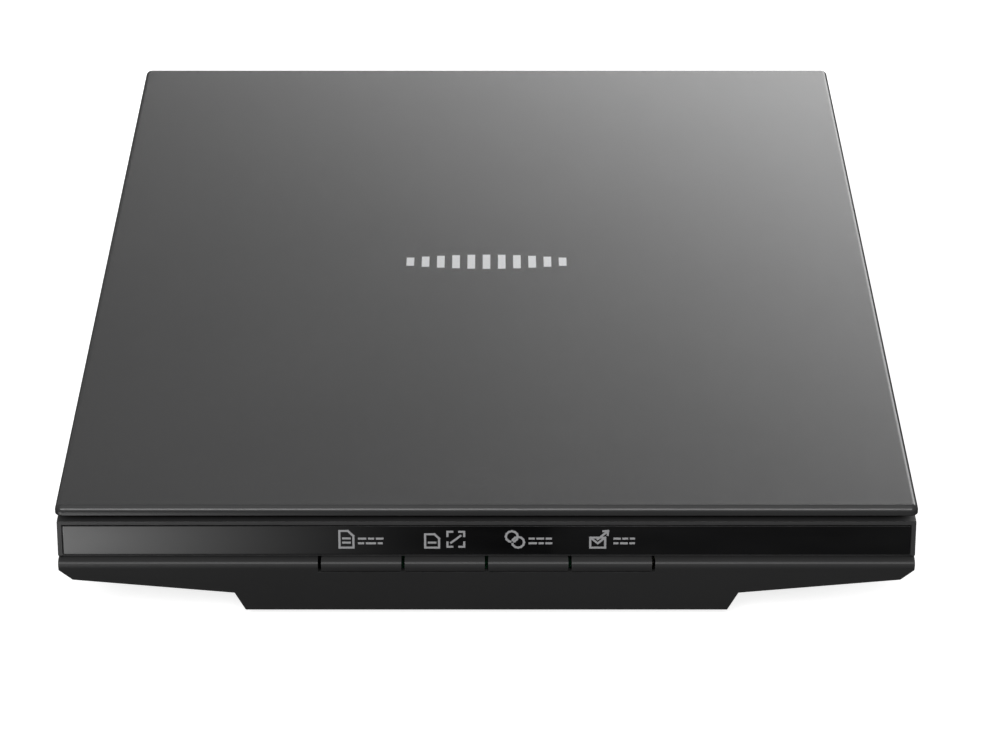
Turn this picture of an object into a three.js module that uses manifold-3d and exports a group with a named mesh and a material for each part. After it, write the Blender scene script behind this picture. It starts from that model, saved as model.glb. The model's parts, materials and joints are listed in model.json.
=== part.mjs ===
// Flatbed scanner with a moving contact image sensor.
// Millimetres: +X to the right, +Y to the back, +Z up. The origin is on the surface that it
// stands on, under the middle of the lid. "Inset" is how far a face lies inside the lid's edge.

import * as THREE from "three";
import { mergeVertices } from "three/addons/utils/BufferGeometryUtils.js";
import Module from "manifold-3d";

const wasm = await Module();
wasm.setup();

// ---------------------------------------------------------------- driving dimensions

const lidWidth = 250;
const lidDepth = 368;
const overallHeight = 42;

const seatGap = 0.3; // between pieces that rest on each other
const glueGap = 0.2; // a bonded joint's glue line
const slipGap = 0.4; // running clearance
const reach = 2 * Math.max(lidWidth, lidDepth); // for cuts that go right through

const lidRim = 3; // height of the lid's visible edge
const lidSkin = 1.6;
const lidRimWall = 2;
const lidCornerRadius = 1.8;
const lidEdgeRound = 1.7;
const lidOverhang = 1.2; // past the case at the front and back
const lidOverhangSide = 0.4;
const lidShadowGap = 2.3; // between the lid's edge and the case

const caseWall = 2;
const deckThickness = 1.2;
const partingHeight = 24.6; // where the two case shells meet
const footHeight = 2.6;
const footRadius = 8;
const footRecess = 1;
const footInsetX = 15;
const footInsetFront = 34;
const footInsetBack = 24;

const bellyHalfWidth = 71; // the deep middle of the case
const bellyFlare = 3;
const wingRise = 8; // from the belly's bottom to the wings' inner edges
const wingSlope = 6; // how much the wings rise outwards
const wingChamferWidth = 3.8;
const wingChamferHeight = 4.5;

const lipHeight = 22.5; // lower edge of the button lip's front face
const lipFace = 1.5; // height of that face
const lipDepth = 2.5; // from the front edge to the recess over the lip
const undercutSetback = 11.6; // how far the belly's front is behind the lip

const stripBottom = 26;
const stripHeight = 9.3;
const stripThickness = 1.1;
const stripEndRim = 1.3;

const windowWidth = 217;
const windowFront = -150;
const windowLength = 298;
const glassThickness = 2.8;
const glassLap = 4.5;
const glassLapFront = 10;

const matThickness = 0.6;
const padMargin = 1;

const hingeSpacing = 168;
const hingeAxisInset = 3.5; // behind the lid's back edge
const hingeAxisDrop = 6; // below the lid's top
const knuckleRadius = 3;
const pinRadius = 1.25;
const knuckleHalf = 5;
const legHalfWidth = 12;
const legThickness = 3;
const legLength = 19.5;
const shankHalfWidth = 10;
const hingePlateLength = 22;

const buttonCount = 4;
const buttonPitch = 24.3;
const buttonGap = 1;
const buttonDepth = 8.2;
const buttonBottom = 20.6;
const buttonFlangeDrop = 1.6;
const stemHalf = 2;
const stemLength = 1.3;
const buttonTravel = 0.8;
const switchSize = 6;
const switchDepth = 2.2;
const switchButtonLength = 0.8;
const switchButtonRadius = 1.6;
const boardThickness = 1.5;
const ribHalf = [2, 1.8]; // of the posts that hold the button board
const ribTop = 24;

const toothModule = 1;
const pressureAngle = THREE.MathUtils.degToRad(25);
const addendum = 0.9;
const dedendum = 1.25;
const backlash = 0.16; // each gear's teeth are this much thinner than half a pitch
const smallTeeth = 12;
const largeTeeth = 30;
const motorTeeth = 10;

const homeLine = -154; // the sensor's line at rest
const travel = 300;
const rodX = -22;
const rodHeight = 11;
const rodRadius = 3;
const rodPostLength = 6;
const bushWall = 0.8;
const bushLength = 20;
const gearX = 38; // the compound gear's axle
const gearBehind = 10; // how far the axle is behind the sensor's line
const motorRadius = 9;
const motorBehind = 22;
const motorHeight = 11.3;
const axleRadius = 1.5;
const shaftRadius = 1;
const rackDepth = 6;
const rackHeight = 4.4;
const wheelThickness = 2.6;

const cradleHalfLength = 117;
const cradleWall = 2;
const cradleFloor = 1.5;
const cradleHeight = 7.4;
const plateBottom = 13.4;
const plateThickness = 2;
const sensorHalfLength = 114;
const sensorHalfWidth = 9.4;
const sensorHeight = 8.2;
const sensorDrop = 3.6; // from the sensor's bottom to the cradle's
const glideThickness = 0.5;
const springX = 90;
const springRadius = 3;
const springWire = 0.35;
const springTurns = 4;
const springCupRadius = 4.3;
const springCupWall = 1.2;
const springCupGap = 0.44; // over the wing's floor

const screwX = 110;
const screwInset = 11.5;
const bossRadius = 4;
const screwRadius = 1.4;
const screwHeadRadius = 3;
const screwHeadHeight = 2.2;
const screwSeat = 19.5;

const mainBoardX = [-67, -41];
const mainBoardLength = 132;
const mainBoardBackGap = 10.8; // from the case's back
const mainBoardHeight = 8;
const boardPostRadius = 2.2;
const boardPostInset = 4;
const chipX = -54;
const controllerAlong = 72; // from the board's front edge
const controllerHalf = 7;
const controllerHeight = 1.4;
const driverAlong = 44;
const driverHalf = [3.5, 5];
const driverHeight = 1.6;
const connectorX = -45;
const connectorHalf = [3, 3];
const connectorHeight = 2.4;
const usbX = -54;
const usbWidth = 12;
const usbHeight = 11;
const usbLength = 16;
const usbWall = 1;
const ribbonX = -35.5;
const ribbonWidth = 8;
const ribbonThickness = 0.3;

// ---------------------------------------------------------------- levels worked out from them

const lidBack = lidDepth / 2;
const lidFront = -lidBack;
const lidUnder = overallHeight - lidSkin;
const rimBottom = overallHeight - lidRim;
const deckTop = rimBottom - lidShadowGap;
const deckUnder = deckTop - deckThickness;
const caseHalfWidth = lidWidth / 2 - lidOverhangSide;
const caseFront = lidFront + lidOverhang;
const caseBack = lidBack - lidOverhang;
const wallFront = lidFront + lipDepth;
const bellyBottom = footHeight;
const bellyFloor = bellyBottom + caseWall;
const glassTop = deckUnder - seatGap - 0.1;
const glassBottom = glassTop - glassThickness;
const windowBack = windowFront + windowLength;
const sensorTop = glassBottom - glideThickness - 2 * glueGap;
const sensorBottom = sensorTop - sensorHeight;
const cradleBottom = sensorBottom - sensorDrop;
const hingeAxisY = lidBack - hingeAxisInset;
const hingeAxisZ = overallHeight - hingeAxisDrop;
const smallRadius = (toothModule * smallTeeth) / 2;
const largeRadius = (toothModule * largeTeeth) / 2;
const motorPinionRadius = (toothModule * motorTeeth) / 2;
const rackPitchX = gearX + smallRadius;
const rackBottom = bellyFloor + seatGap;
const smallBottom = rackBottom + 0.7;
const wheelBottom = rackBottom + rackHeight + slipGap;
const motorX = gearX - Math.sqrt((largeRadius + motorPinionRadius) ** 2 - (motorBehind - gearBehind) ** 2);

// ---------------------------------------------------------------- materials

const finish = (color, roughness, metalness = 0) => new THREE.MeshStandardMaterial({ color, roughness, metalness });
const caseBlack = finish("#232325", 0.55);
const lidBlack = finish("#3a3b3d", 0.45);
const glossBlack = finish("#0c0c0d", 0.12);
const innerGrey = finish("#2c2d30", 0.6);
const clearGlass = finish("#cfe3e0", 0.05);
const white = finish("#efefec", 0.7);
const foamGrey = finish("#8d8f92", 0.9);
const steel = finish("#b9bcc0", 0.3, 1);
const brass = finish("#c4a15a", 0.35, 1);
const acetal = finish("#e6e2d6", 0.4);
const rubber = finish("#1b1b1c", 0.9);
const boardGreen = finish("#1f5a3a", 0.5);
const chipBlack = finish("#151617", 0.5);

// ---------------------------------------------------------------- solids

function solid(geometry) {
  geometry.deleteAttribute("normal");
  geometry.deleteAttribute("uv");
  const merged = mergeVertices(geometry, 1e-4);
  const vertProperties = merged.attributes.position.array;
  const triVerts = Uint32Array.from(merged.index.array);
  return new wasm.Manifold(new wasm.Mesh({ numProp: 3, vertProperties, triVerts }));
}

function geometryOf(manifold) {
  const { vertProperties, triVerts } = manifold.getMesh();
  const geometry = new THREE.BufferGeometry();
  geometry.setAttribute("position", new THREE.BufferAttribute(vertProperties, 3));
  geometry.setIndex(new THREE.BufferAttribute(triVerts, 1));
  return geometry;
}

const join = (first, ...others) => others.reduce((whole, other) => whole.add(other), first);
const cut = (first, ...others) => others.reduce((whole, other) => whole.subtract(other), first);

function box([x0, x1], [y0, y1], [z0, z1]) {
  const geometry = new THREE.BoxGeometry(x1 - x0, y1 - y0, z1 - z0);
  return solid(geometry.translate((x0 + x1) / 2, (y0 + y1) / 2, (z0 + z1) / 2));
}

const around = (middle, half) => [middle - half, middle + half];

// An outline pushed along an axis: (x, y) along z, (x, z) along y, (y, z) along x.
const outlineBases = {
  z: [[1, 0, 0], [0, 1, 0], [0, 0, 1]],
  y: [[1, 0, 0], [0, 0, 1], [0, -1, 0]],
  x: [[0, 1, 0], [0, 0, 1], [1, 0, 0]],
};

function prism(axis, outline, [from, to]) {
  const shape = new THREE.Shape(outline.map(([a, b]) => new THREE.Vector2(a, b)));
  const geometry = new THREE.ExtrudeGeometry(shape, { depth: to - from, bevelEnabled: false });
  const basis = outlineBases[axis].map((v) => new THREE.Vector3(...v));
  geometry.applyMatrix4(new THREE.Matrix4().makeBasis(...basis));
  const start = axis === "y" ? to : from;
  const offset = { x: [start, 0, 0], y: [0, start, 0], z: [0, 0, start] }[axis];
  return solid(geometry.translate(...offset));
}

function cylinder(axis, radius, [from, to], [a, b], sides = 32) {
  const geometry = new THREE.CylinderGeometry(radius, radius, to - from, sides);
  const middle = (from + to) / 2;
  if (axis === "x") geometry.rotateZ(Math.PI / 2).translate(middle, a, b);
  if (axis === "y") geometry.translate(a, middle, b);
  if (axis === "z") geometry.rotateX(Math.PI / 2).translate(a, b, middle);
  return solid(geometry);
}

const scene = new THREE.Group();

function node(name, shape, material, group = scene) {
  const mesh = new THREE.Mesh(geometryOf(shape), material);
  mesh.name = name;
  group.add(mesh);
  return mesh;
}

// ---------------------------------------------------------------- case

// The case's cross-section, with its faces moved in by a wall's thickness.
function crossSection(inward, top) {
  const half = [
    [bellyHalfWidth - inward, bellyBottom + inward],
    [bellyHalfWidth + bellyFlare - inward * 0.8, bellyBottom + wingRise + inward],
    [caseHalfWidth - wingChamferWidth - inward * 0.4, bellyBottom + wingRise + wingSlope + inward],
    [caseHalfWidth - inward, bellyBottom + wingRise + wingSlope + wingChamferHeight + inward * 0.5],
    [caseHalfWidth - inward, top],
  ];
  return [...half, ...half.map(([x, z]) => [-x, z]).reverse()];
}

// The inside of a wing's floor, at a distance from the middle.
function wingFloorAt(x) {
  const inner = bellyHalfWidth + bellyFlare - caseWall * 0.8;
  const outer = caseHalfWidth - wingChamferWidth - caseWall * 0.4;
  return bellyBottom + wingRise + caseWall + (wingSlope * (x - inner)) / (outer - inner);
}

const springCupBottom = wingFloorAt(springX + springCupRadius + springCupWall) + springCupGap;

// How far the undercut front lies behind the lip at a height.
const undercutAt = (z) => (undercutSetback * (lipHeight - z)) / (lipHeight - bellyBottom);

// The lower shell seen from the side, with its faces moved in by a wall's thickness.
function sideSection(inward, top) {
  const slant = inward * 1.15;
  return [
    [lidFront + undercutSetback + slant, bellyBottom],
    [caseBack - inward, bellyBottom],
    [caseBack - inward, top],
    [lidFront + lipDepth + inward, top],
    [lidFront + lipDepth + inward, partingHeight],
    [lidFront, lipHeight + lipFace],
    [lidFront + slant, lipHeight],
  ].filter((point, index) => (inward > 0 ? index !== 5 : index !== 3));
}

function shellBlock(inward, top) {
  const along = prism("y", crossSection(inward, top), [-reach / 2, reach / 2]);
  return along.intersect(prism("x", sideSection(inward, top), [-reach / 2, reach / 2]));
}

const corners = [[-1, -1], [1, -1], [-1, 1], [1, 1]];
const screwPlaces = corners.map(([sx, sy]) => [sx * screwX, sy * (lidBack - screwInset)]);
const footPlaces = corners.map(([sx, sy]) => [
  sx * (bellyHalfWidth - footInsetX),
  sy < 0 ? lidFront + footInsetFront : lidBack - footInsetBack,
]);

const buttonSpan = buttonCount * buttonPitch + buttonGap;
const buttonBack = lidFront + buttonDepth;
const switchFront = buttonBack + stemLength + buttonTravel + 0.1;
const boardFront = switchFront + switchButtonLength + switchDepth + glueGap;
const boardHalf = buttonSpan / 2 - 3;
const boardLevels = [15.5, 26.5];
const mainBoardBack = caseBack - mainBoardBackGap;
const mainBoardY = [mainBoardBack - mainBoardLength, mainBoardBack];
const rodEnds = [lidFront + undercutAt(rodHeight) + caseWall + 2.5, caseBack - caseWall - 5];

function rodPost([from, to]) {
  const head = rodRadius + 2.5;
  const post = box(around(rodX, head), [from, to], [bellyFloor - 0.5, rodHeight + head]);
  return cut(post, box(around(rodX, reach), [from - 1, to + 1], [plateBottom + 2, reach]));
}

function baseCase() {
  let base = cut(shellBlock(0, partingHeight), shellBlock(caseWall, partingHeight + 20));
  const inside = shellBlock(0.5, partingHeight);
  for (const [x, y] of screwPlaces) {
    const boss = cylinder("z", bossRadius, [bellyBottom, partingHeight], [x, y], 24).intersect(inside);
    base = join(base, boss);
  }
  base = join(base, rodPost([rodEnds[0], rodEnds[0] + rodPostLength]));
  base = join(base, rodPost([rodEnds[1] - rodPostLength, rodEnds[1]]));
  for (const side of [-1, 1]) {
    const place = [around(side * boardHalf, ribHalf[0]), around(boardFront + boardThickness / 2, ribHalf[1])];
    const rib = box(...place, [bellyFloor - 0.5, ribTop]);
    base = join(base, rib);
  }
  for (const x of mainBoardX) {
    for (const y of mainBoardY) {
      const towards = (value, pair) => value + Math.sign((pair[0] + pair[1]) / 2 - value) * boardPostInset;
      const place = [towards(x, mainBoardX), towards(y, mainBoardY)];
      const post = cylinder("z", boardPostRadius, [bellyFloor - 0.5, mainBoardHeight - seatGap], place, 16);
      base = join(base, post);
    }
  }
  const slot = box(around(0, boardHalf + 0.4), around(boardFront + boardThickness / 2, boardThickness / 2 + 0.3),
    [boardLevels[0] - seatGap, reach]);
  base = cut(base, slot);
  for (const end of [rodEnds[0] - 1, rodEnds[1] - rodPostLength - 1]) {
    base = cut(base, cylinder("y", rodRadius + glueGap, [end, end + rodPostLength + 2], [rodX, rodHeight]));
  }
  for (const [x, y] of screwPlaces) {
    base = cut(base, cylinder("z", screwRadius + slipGap, [0, reach], [x, y], 24));
    base = cut(base, cylinder("z", screwHeadRadius + slipGap, [0, screwSeat], [x, y], 24));
  }
  for (const [x, y] of footPlaces) {
    base = cut(base, cylinder("z", footRadius + seatGap, [0, bellyBottom + footRecess], [x, y]));
  }
  const buttonSlot = box(around(0, buttonSpan / 2), [lidFront - 1, buttonBack + 2], [buttonBottom - slipGap, reach]);
  const usbHole = box(around(usbX, usbWidth / 2 + slipGap), [caseBack - caseWall - 1, reach],
    [usbLevels[0] - slipGap, usbLevels[1] + slipGap]);
  return cut(base, buttonSlot, usbHole);
}

const hingeSides = [["left", -1], ["right", 1]];
const legFront = hingeAxisY - 6.5;
const legBottom = hingeAxisZ - legLength - 0.5;
const notchBottom = hingeAxisZ - knuckleRadius - 0.5;

function topFrame() {
  const parting = partingHeight + seatGap;
  const outline = [
    [wallFront, parting],
    [caseBack, parting],
    [caseBack, deckTop],
    [caseFront, deckTop],
    [caseFront, stripBottom - seatGap],
    [wallFront, stripBottom - seatGap],
  ];
  let frame = prism("x", outline, around(0, caseHalfWidth));
  const inner = [wallFront + caseWall, caseBack - caseWall];
  frame = cut(frame, box(around(0, caseHalfWidth - caseWall), inner, [0, deckUnder]));
  for (const [x, y] of screwPlaces) {
    frame = join(frame, cylinder("z", bossRadius, [parting, deckUnder + 0.5], [x, y], 24));
  }
  for (const [, side] of hingeSides) {
    const x = (side * hingeSpacing) / 2;
    const span = around(x, shankHalfWidth + 3);
    const bridge = box(span, [legFront - 2, inner[1] + 0.5], [parting, deckUnder + 0.5]);
    const socket = join(bridge, box(span, [legFront - 2, inner[1] - seatGap], [legBottom + 0.5, parting + 0.5]));
    const notch = box(around(x, legHalfWidth + 1), [legFront - slipGap, reach], [notchBottom, reach]);
    const slot = box(around(x, shankHalfWidth + slipGap), around(legFront + legThickness / 2, legThickness / 2 + slipGap),
      [0, reach]);
    frame = cut(join(frame, socket), notch, slot);
  }
  for (const [x, y] of screwPlaces) {
    frame = cut(frame, cylinder("z", screwRadius + seatGap, [0, deckUnder - 1], [x, y], 24));
  }
  const stripRecess = box(around(0, caseHalfWidth - stripEndRim), [lidFront - 1, wallFront],
    [stripBottom - seatGap, stripBottom + stripHeight + seatGap]);
  const glassWindow = box(around(0, windowWidth / 2), [windowFront, windowBack], [0, reach]);
  return cut(frame, stripRecess, glassWindow);
}

const usbLevels = [mainBoardHeight + boardThickness + glueGap, mainBoardHeight + boardThickness + glueGap + usbHeight];

function footShape() {
  const top = footHeight + footRecess - glueGap;
  const profile = [[0, 0], [footRadius - 1, 0], [footRadius, 1], [footRadius, top], [0, top]];
  return solid(new THREE.LatheGeometry(profile.map(([r, z]) => new THREE.Vector2(r, z)), 32).rotateX(Math.PI / 2));
}

function screwShape() {
  const tip = deckUnder - 3;
  const profile = [
    [0, screwSeat - screwHeadHeight],
    [screwHeadRadius, screwSeat - screwHeadHeight],
    [screwHeadRadius, screwSeat - glueGap],
    [screwRadius, screwSeat - glueGap],
    [screwRadius, tip - 1],
    [0, tip],
  ];
  return solid(new THREE.LatheGeometry(profile.map(([r, z]) => new THREE.Vector2(r, z)), 20).rotateX(Math.PI / 2));
}

node("base_case", baseCase(), caseBlack);
node("top_frame", topFrame(), caseBlack);
const glassSpan = [windowFront - glassLapFront, windowBack + glassLap];
node("platen_glass", box(around(0, windowWidth / 2 + glassLap), glassSpan, [glassBottom, glassTop]), clearGlass);
node("calibration_strip", box(around(0, windowWidth / 2 - 1), around(homeLine, 3), [glassTop + 0.1, glassTop + 0.3]), white);
const stripSpan = around(0, caseHalfWidth - stripEndRim - seatGap);
node("front_strip", box(stripSpan, [wallFront - glueGap - stripThickness, wallFront - glueGap],
  [stripBottom, stripBottom + stripHeight]), glossBlack);
corners.forEach(([sx, sy], index) => {
  const place = `${sy < 0 ? "front" : "back"}_${sx < 0 ? "left" : "right"}`;
  const [footX, footY] = footPlaces[index];
  node(`foot_${place}`, footShape(), rubber).position.set(footX, footY, 0);
  const [x, y] = screwPlaces[index];
  node(`case_screw_${place}`, screwShape(), steel).position.set(x, y, 0);
});

// ---------------------------------------------------------------- buttons

function buttonShape() {
  const flangeFront = undercutAt(buttonBottom - buttonFlangeDrop) + caseWall * 1.15 + slipGap;
  const outline = [
    [lidFront, lipHeight + lipFace],
    [lidFront, lipHeight],
    [lidFront + undercutAt(buttonBottom), buttonBottom],
    [lidFront + flangeFront, buttonBottom],
    [lidFront + flangeFront, buttonBottom - buttonFlangeDrop],
    [buttonBack, buttonBottom - buttonFlangeDrop],
    [buttonBack, partingHeight],
    [wallFront, partingHeight],
  ];
  const cap = prism("x", outline, around(0, (buttonPitch - buttonGap) / 2));
  const stem = box(around(0, stemHalf), [buttonBack - 1, buttonBack + stemLength], around(lipHeight - 1.5, stemHalf));
  return join(cap, stem);
}

function switchShape() {
  const bodyFront = switchFront + switchButtonLength;
  const middle = lipHeight - 1.5;
  const body = box(around(0, switchSize / 2), [bodyFront, bodyFront + switchDepth], around(middle, switchSize / 2));
  return join(body, cylinder("y", switchButtonRadius, [switchFront, bodyFront + 1], [0, middle], 20));
}

for (let index = 0; index < buttonCount; index += 1) {
  const x = (index - (buttonCount - 1) / 2) * buttonPitch;
  node(`button_${index + 1}`, buttonShape(), caseBlack).position.x = x;
  node(`button_switch_${index + 1}`, switchShape(), chipBlack).position.x = x;
}
node("button_board", box(around(0, boardHalf), [boardFront, boardFront + boardThickness], boardLevels), boardGreen);

// ---------------------------------------------------------------- electronics

const boardTop = mainBoardHeight + boardThickness;
const chipLevels = (height) => [boardTop + glueGap, boardTop + glueGap + height];

function usbShape() {
  const back = caseBack + 0.3;
  const middle = (usbLevels[0] + usbLevels[1]) / 2;
  const shell = box(around(usbX, usbWidth / 2), [back - usbLength, back], usbLevels);
  const mouth = box(around(usbX, usbWidth / 2 - usbWall), [back - 10, back + 1], around(middle, usbHeight / 2 - usbWall));
  const tongue = box(around(usbX, 2.8), [back - 11, back - 2], around(middle + 1.7, 1.2));
  return join(cut(shell, mouth), tongue);
}

// A flat ribbon: down from the board's connector, along the floor, up to the carriage.
function ribbonShape() {
  const floorLine = bellyFloor + 0.8;
  const start = mainBoardY[0] - 2;
  const path = [
    [start, boardTop + 0.8],
    [start - 4, boardTop + 0.8],
    [start - 10, floorLine],
    [homeLine + 12, floorLine],
    [homeLine + 3, floorLine + 3],
    [homeLine, cradleBottom - seatGap],
  ];
  const half = ribbonThickness / 2;
  const upper = path.map(([y, z], index) => (index < 4 ? [y, z + half] : [y + half * 2, z]));
  const lower = path.map(([y, z], index) => (index < 4 ? [y, z - half] : [y, z])).reverse();
  return prism("x", [...upper, ...lower], around(ribbonX, ribbonWidth / 2));
}

node("main_board", box(mainBoardX, mainBoardY, [mainBoardHeight, boardTop]), boardGreen);
const onBoard = (x, y, [halfX, halfY], height) => box(around(x, halfX), around(y, halfY), chipLevels(height));
const controllerHalves = [controllerHalf, controllerHalf];
node("controller_chip", onBoard(chipX, mainBoardY[0] + controllerAlong, controllerHalves, controllerHeight), chipBlack);
node("driver_chip", onBoard(chipX, mainBoardY[0] + driverAlong, driverHalf, driverHeight), chipBlack);
node("ribbon_connector", onBoard(connectorX, mainBoardY[0] + 4, connectorHalf, connectorHeight), white);
node("usb_port", usbShape(), steel);
node("ribbon_cable", ribbonShape(), white);

// ---------------------------------------------------------------- gears

// One side of an involute tooth, from the root to the tip: [radius, angle from the tooth's middle].
function flank(teeth) {
  const pitch = (toothModule * teeth) / 2;
  const base = pitch * Math.cos(pressureAngle);
  const root = pitch - dedendum * toothModule;
  const tip = pitch + addendum * toothModule;
  const involute = (radius) => {
    const angle = Math.acos(base / radius);
    return Math.tan(angle) - angle;
  };
  const halfTooth = (Math.PI * toothModule) / 4 - backlash / 2;
  const atBase = halfTooth / pitch + involute(pitch);
  const start = Math.max(base, root);
  const points = [0, 0.25, 0.55, 1].map((share) => {
    const radius = start + (tip - start) * share;
    return [radius, atBase - involute(radius)];
  });
  return root < base ? [[root, atBase], ...points] : points;
}

// Teeth all round, with a tooth or a gap towards an angle.
function gearOutline(teeth, towards, gapFirst) {
  const step = (2 * Math.PI) / teeth;
  const first = towards + (gapFirst ? step / 2 : 0);
  const side = flank(teeth);
  const outline = [];
  for (let tooth = 0; tooth < teeth; tooth += 1) {
    const middle = first + tooth * step;
    const rising = side.map(([radius, angle]) => [radius, middle - angle]);
    const falling = side.map(([radius, angle]) => [radius, middle + angle]).reverse();
    outline.push(...rising, ...falling);
  }
  return outline.map(([radius, angle]) => [radius * Math.cos(angle), radius * Math.sin(angle)]);
}

function rackShape() {
  const pitch = Math.PI * toothModule;
  const gearHome = homeLine + gearBehind;
  const first = -Math.ceil(2.5 * smallRadius / pitch);
  const last = Math.ceil((travel + 2 * smallRadius) / pitch);
  const half = pitch / 4 - backlash / 2;
  const slope = Math.tan(pressureAngle);
  const rootX = rackPitchX + dedendum * toothModule;
  const tipX = rackPitchX - addendum * toothModule;
  const teeth = [];
  for (let tooth = first; tooth <= last; tooth += 1) {
    const middle = gearHome + tooth * pitch;
    const atRoot = half + dedendum * slope;
    const atTip = half - addendum * slope;
    teeth.push([rootX, middle - atRoot], [tipX, middle - atTip], [tipX, middle + atTip], [rootX, middle + atRoot]);
  }
  const ends = [gearHome + (first - 1) * pitch, gearHome + (last + 1) * pitch];
  const outline = [
    [rackPitchX + rackDepth, ends[0]],
    [rackPitchX + rackDepth, ends[1]],
    [rootX, ends[1]],
    ...teeth.reverse(),
    [rootX, ends[0]],
  ];
  return prism("z", outline, [rackBottom, rackBottom + rackHeight]);
}

const motorDirection = Math.atan2(motorBehind - gearBehind, motorX - gearX);
const wheelTop = wheelBottom + wheelThickness;

function compoundGear() {
  const small = prism("z", gearOutline(smallTeeth, 0, true), [smallBottom, wheelBottom + 0.5]);
  const large = prism("z", gearOutline(largeTeeth, motorDirection, false), [wheelBottom, wheelTop]);
  return cut(join(small, large), cylinder("z", axleRadius + seatGap, [0, reach], [0, 0], 20));
}

function motorPinion() {
  const pinion = prism("z", gearOutline(motorTeeth, motorDirection + Math.PI, true), [wheelBottom, wheelTop + 0.2]);
  const shaftTop = plateBottom + plateThickness + 0.1;
  return join(pinion, cylinder("z", shaftRadius, [wheelBottom - 0.3, shaftTop], [0, 0], 16));
}

const rodShape = cylinder("y", rodRadius, rodEnds, [rodX, rodHeight]);
node("guide_rod", rodShape, steel);
node("drive_rack", rackShape(), acetal);

// ---------------------------------------------------------------- carriage, about the sensor's line

const carriage = new THREE.Group();
carriage.position.y = homeLine;
scene.add(carriage);

function carriageFrame() {
  const cradleTop = cradleBottom + cradleHeight;
  const half = sensorHalfWidth + 0.6;
  let frame = box(around(0, cradleHalfLength), around(0, half + cradleWall), [cradleBottom, cradleTop]);
  for (const x of [-springX, springX]) {
    frame = join(frame, cylinder("z", springCupRadius + springCupWall, [springCupBottom, cradleBottom + 0.5], [x, 0], 24));
  }
  const blockHalf = rodRadius + bushWall + 0.3 + 3.9;
  const plateTop = plateBottom + plateThickness;
  const block = box(around(rodX, blockHalf), around(0, bushLength / 2), [bellyFloor + 0.8, cradleBottom + 0.5]);
  const plate = box([rodX, gearX + 8], around(0, bushLength / 2), [plateBottom, plateTop]);
  const lobe = box([motorX - motorRadius - 1, gearX + 8], [0, motorBehind + motorRadius + 0.5], [plateBottom, plateTop]);
  const pillar = box([rodX, rodX + 24], around(0, bushLength / 2), [plateBottom, cradleBottom + 0.5]);
  frame = join(frame, block, plate, lobe, pillar);
  const well = box(around(0, sensorHalfLength + 0.8), around(0, half), [cradleBottom + cradleFloor, reach]);
  const bore = cylinder("y", rodRadius + bushWall + seatGap + glueGap, around(0, reach / 2), [rodX, rodHeight]);
  const motorHole = cylinder("z", motorPinionRadius + addendum + 0.6, [0, cradleBottom], [motorX, motorBehind]);
  const axleHole = cylinder("z", axleRadius + glueGap, [0, plateTop + 1], [gearX, gearBehind], 20);
  frame = cut(frame, well, bore, motorHole, axleHole);
  for (const x of [-springX, springX]) {
    frame = cut(frame, cylinder("z", springCupRadius, [springCupBottom + springCupWall, reach], [x, 0], 24));
  }
  return frame;
}

function ring(outer, inner, length) {
  const profile = [[inner, 0], [outer, 0], [outer, length], [inner, length], [inner, 0]];
  return new THREE.LatheGeometry(profile.map(([r, z]) => new THREE.Vector2(r, z)), 32);
}

function axleShape() {
  const headTop = rackBottom + 0.4;
  const top = plateBottom + plateThickness - 0.2;
  const shaft = cylinder("z", axleRadius, [rackBottom, top], [0, 0], 20);
  return join(shaft, cylinder("z", axleRadius + 1.2, [rackBottom, headTop], [0, 0], 20));
}

class Helix extends THREE.Curve {
  constructor(radius, height, turns) {
    super();
    Object.assign(this, { radius, height, turns });
  }

  getPoint(t, target = new THREE.Vector3()) {
    const angle = t * this.turns * 2 * Math.PI;
    return target.set(this.radius * Math.cos(angle), this.radius * Math.sin(angle), this.height * t);
  }
}

const springSeat = springCupBottom + springCupWall + seatGap + springWire;

function springShape() {
  const height = sensorBottom - seatGap - springWire - springSeat;
  const wire = new THREE.Shape();
  wire.absarc(0, 0, springWire, 0, 2 * Math.PI);
  const extrudePath = new Helix(springRadius, height, springTurns);
  const geometry = new THREE.ExtrudeGeometry(wire, { steps: springTurns * 12, curveSegments: 3, extrudePath });
  return solid(geometry);
}

node("carriage_frame", carriageFrame(), innerGrey, carriage);
const bush = solid(ring(rodRadius + bushWall + glueGap, rodRadius + glueGap, bushLength));
node("carriage_bush", bush, brass, carriage).position.set(rodX, -bushLength / 2, rodHeight);
const motorBase = plateBottom + plateThickness + seatGap;
const motor = cylinder("z", motorRadius, [motorBase, motorBase + motorHeight], [motorX, motorBehind], 40);
node("drive_motor", motor, steel, carriage);
node("gear_axle", axleShape(), steel, carriage).position.set(gearX, gearBehind, 0);
node("compound_gear", compoundGear(), acetal, carriage).position.set(gearX, gearBehind, 0);
node("motor_pinion", motorPinion(), brass, carriage).position.set(motorX, motorBehind, 0);

// ---------------------------------------------------------------- sensor

const windowLevels = [sensorTop - 1.2, sensorTop - 0.3];

function sensorHousing() {
  const housing = box(around(0, sensorHalfLength), around(0, sensorHalfWidth), [sensorBottom, sensorTop]);
  const seat = box(around(0, sensorHalfLength - 3.7), [-5.3, 3.3], [windowLevels[0] - glueGap, reach]);
  const channel = box(around(0, sensorHalfLength - 6), [-4.6, 2.6], [sensorTop - 4.8, reach]);
  const boardSeat = box(around(0, springX - 9), around(0, 7.3), [0, sensorBottom + 1.2]);
  return cut(housing, seat, channel, boardSeat);
}

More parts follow.
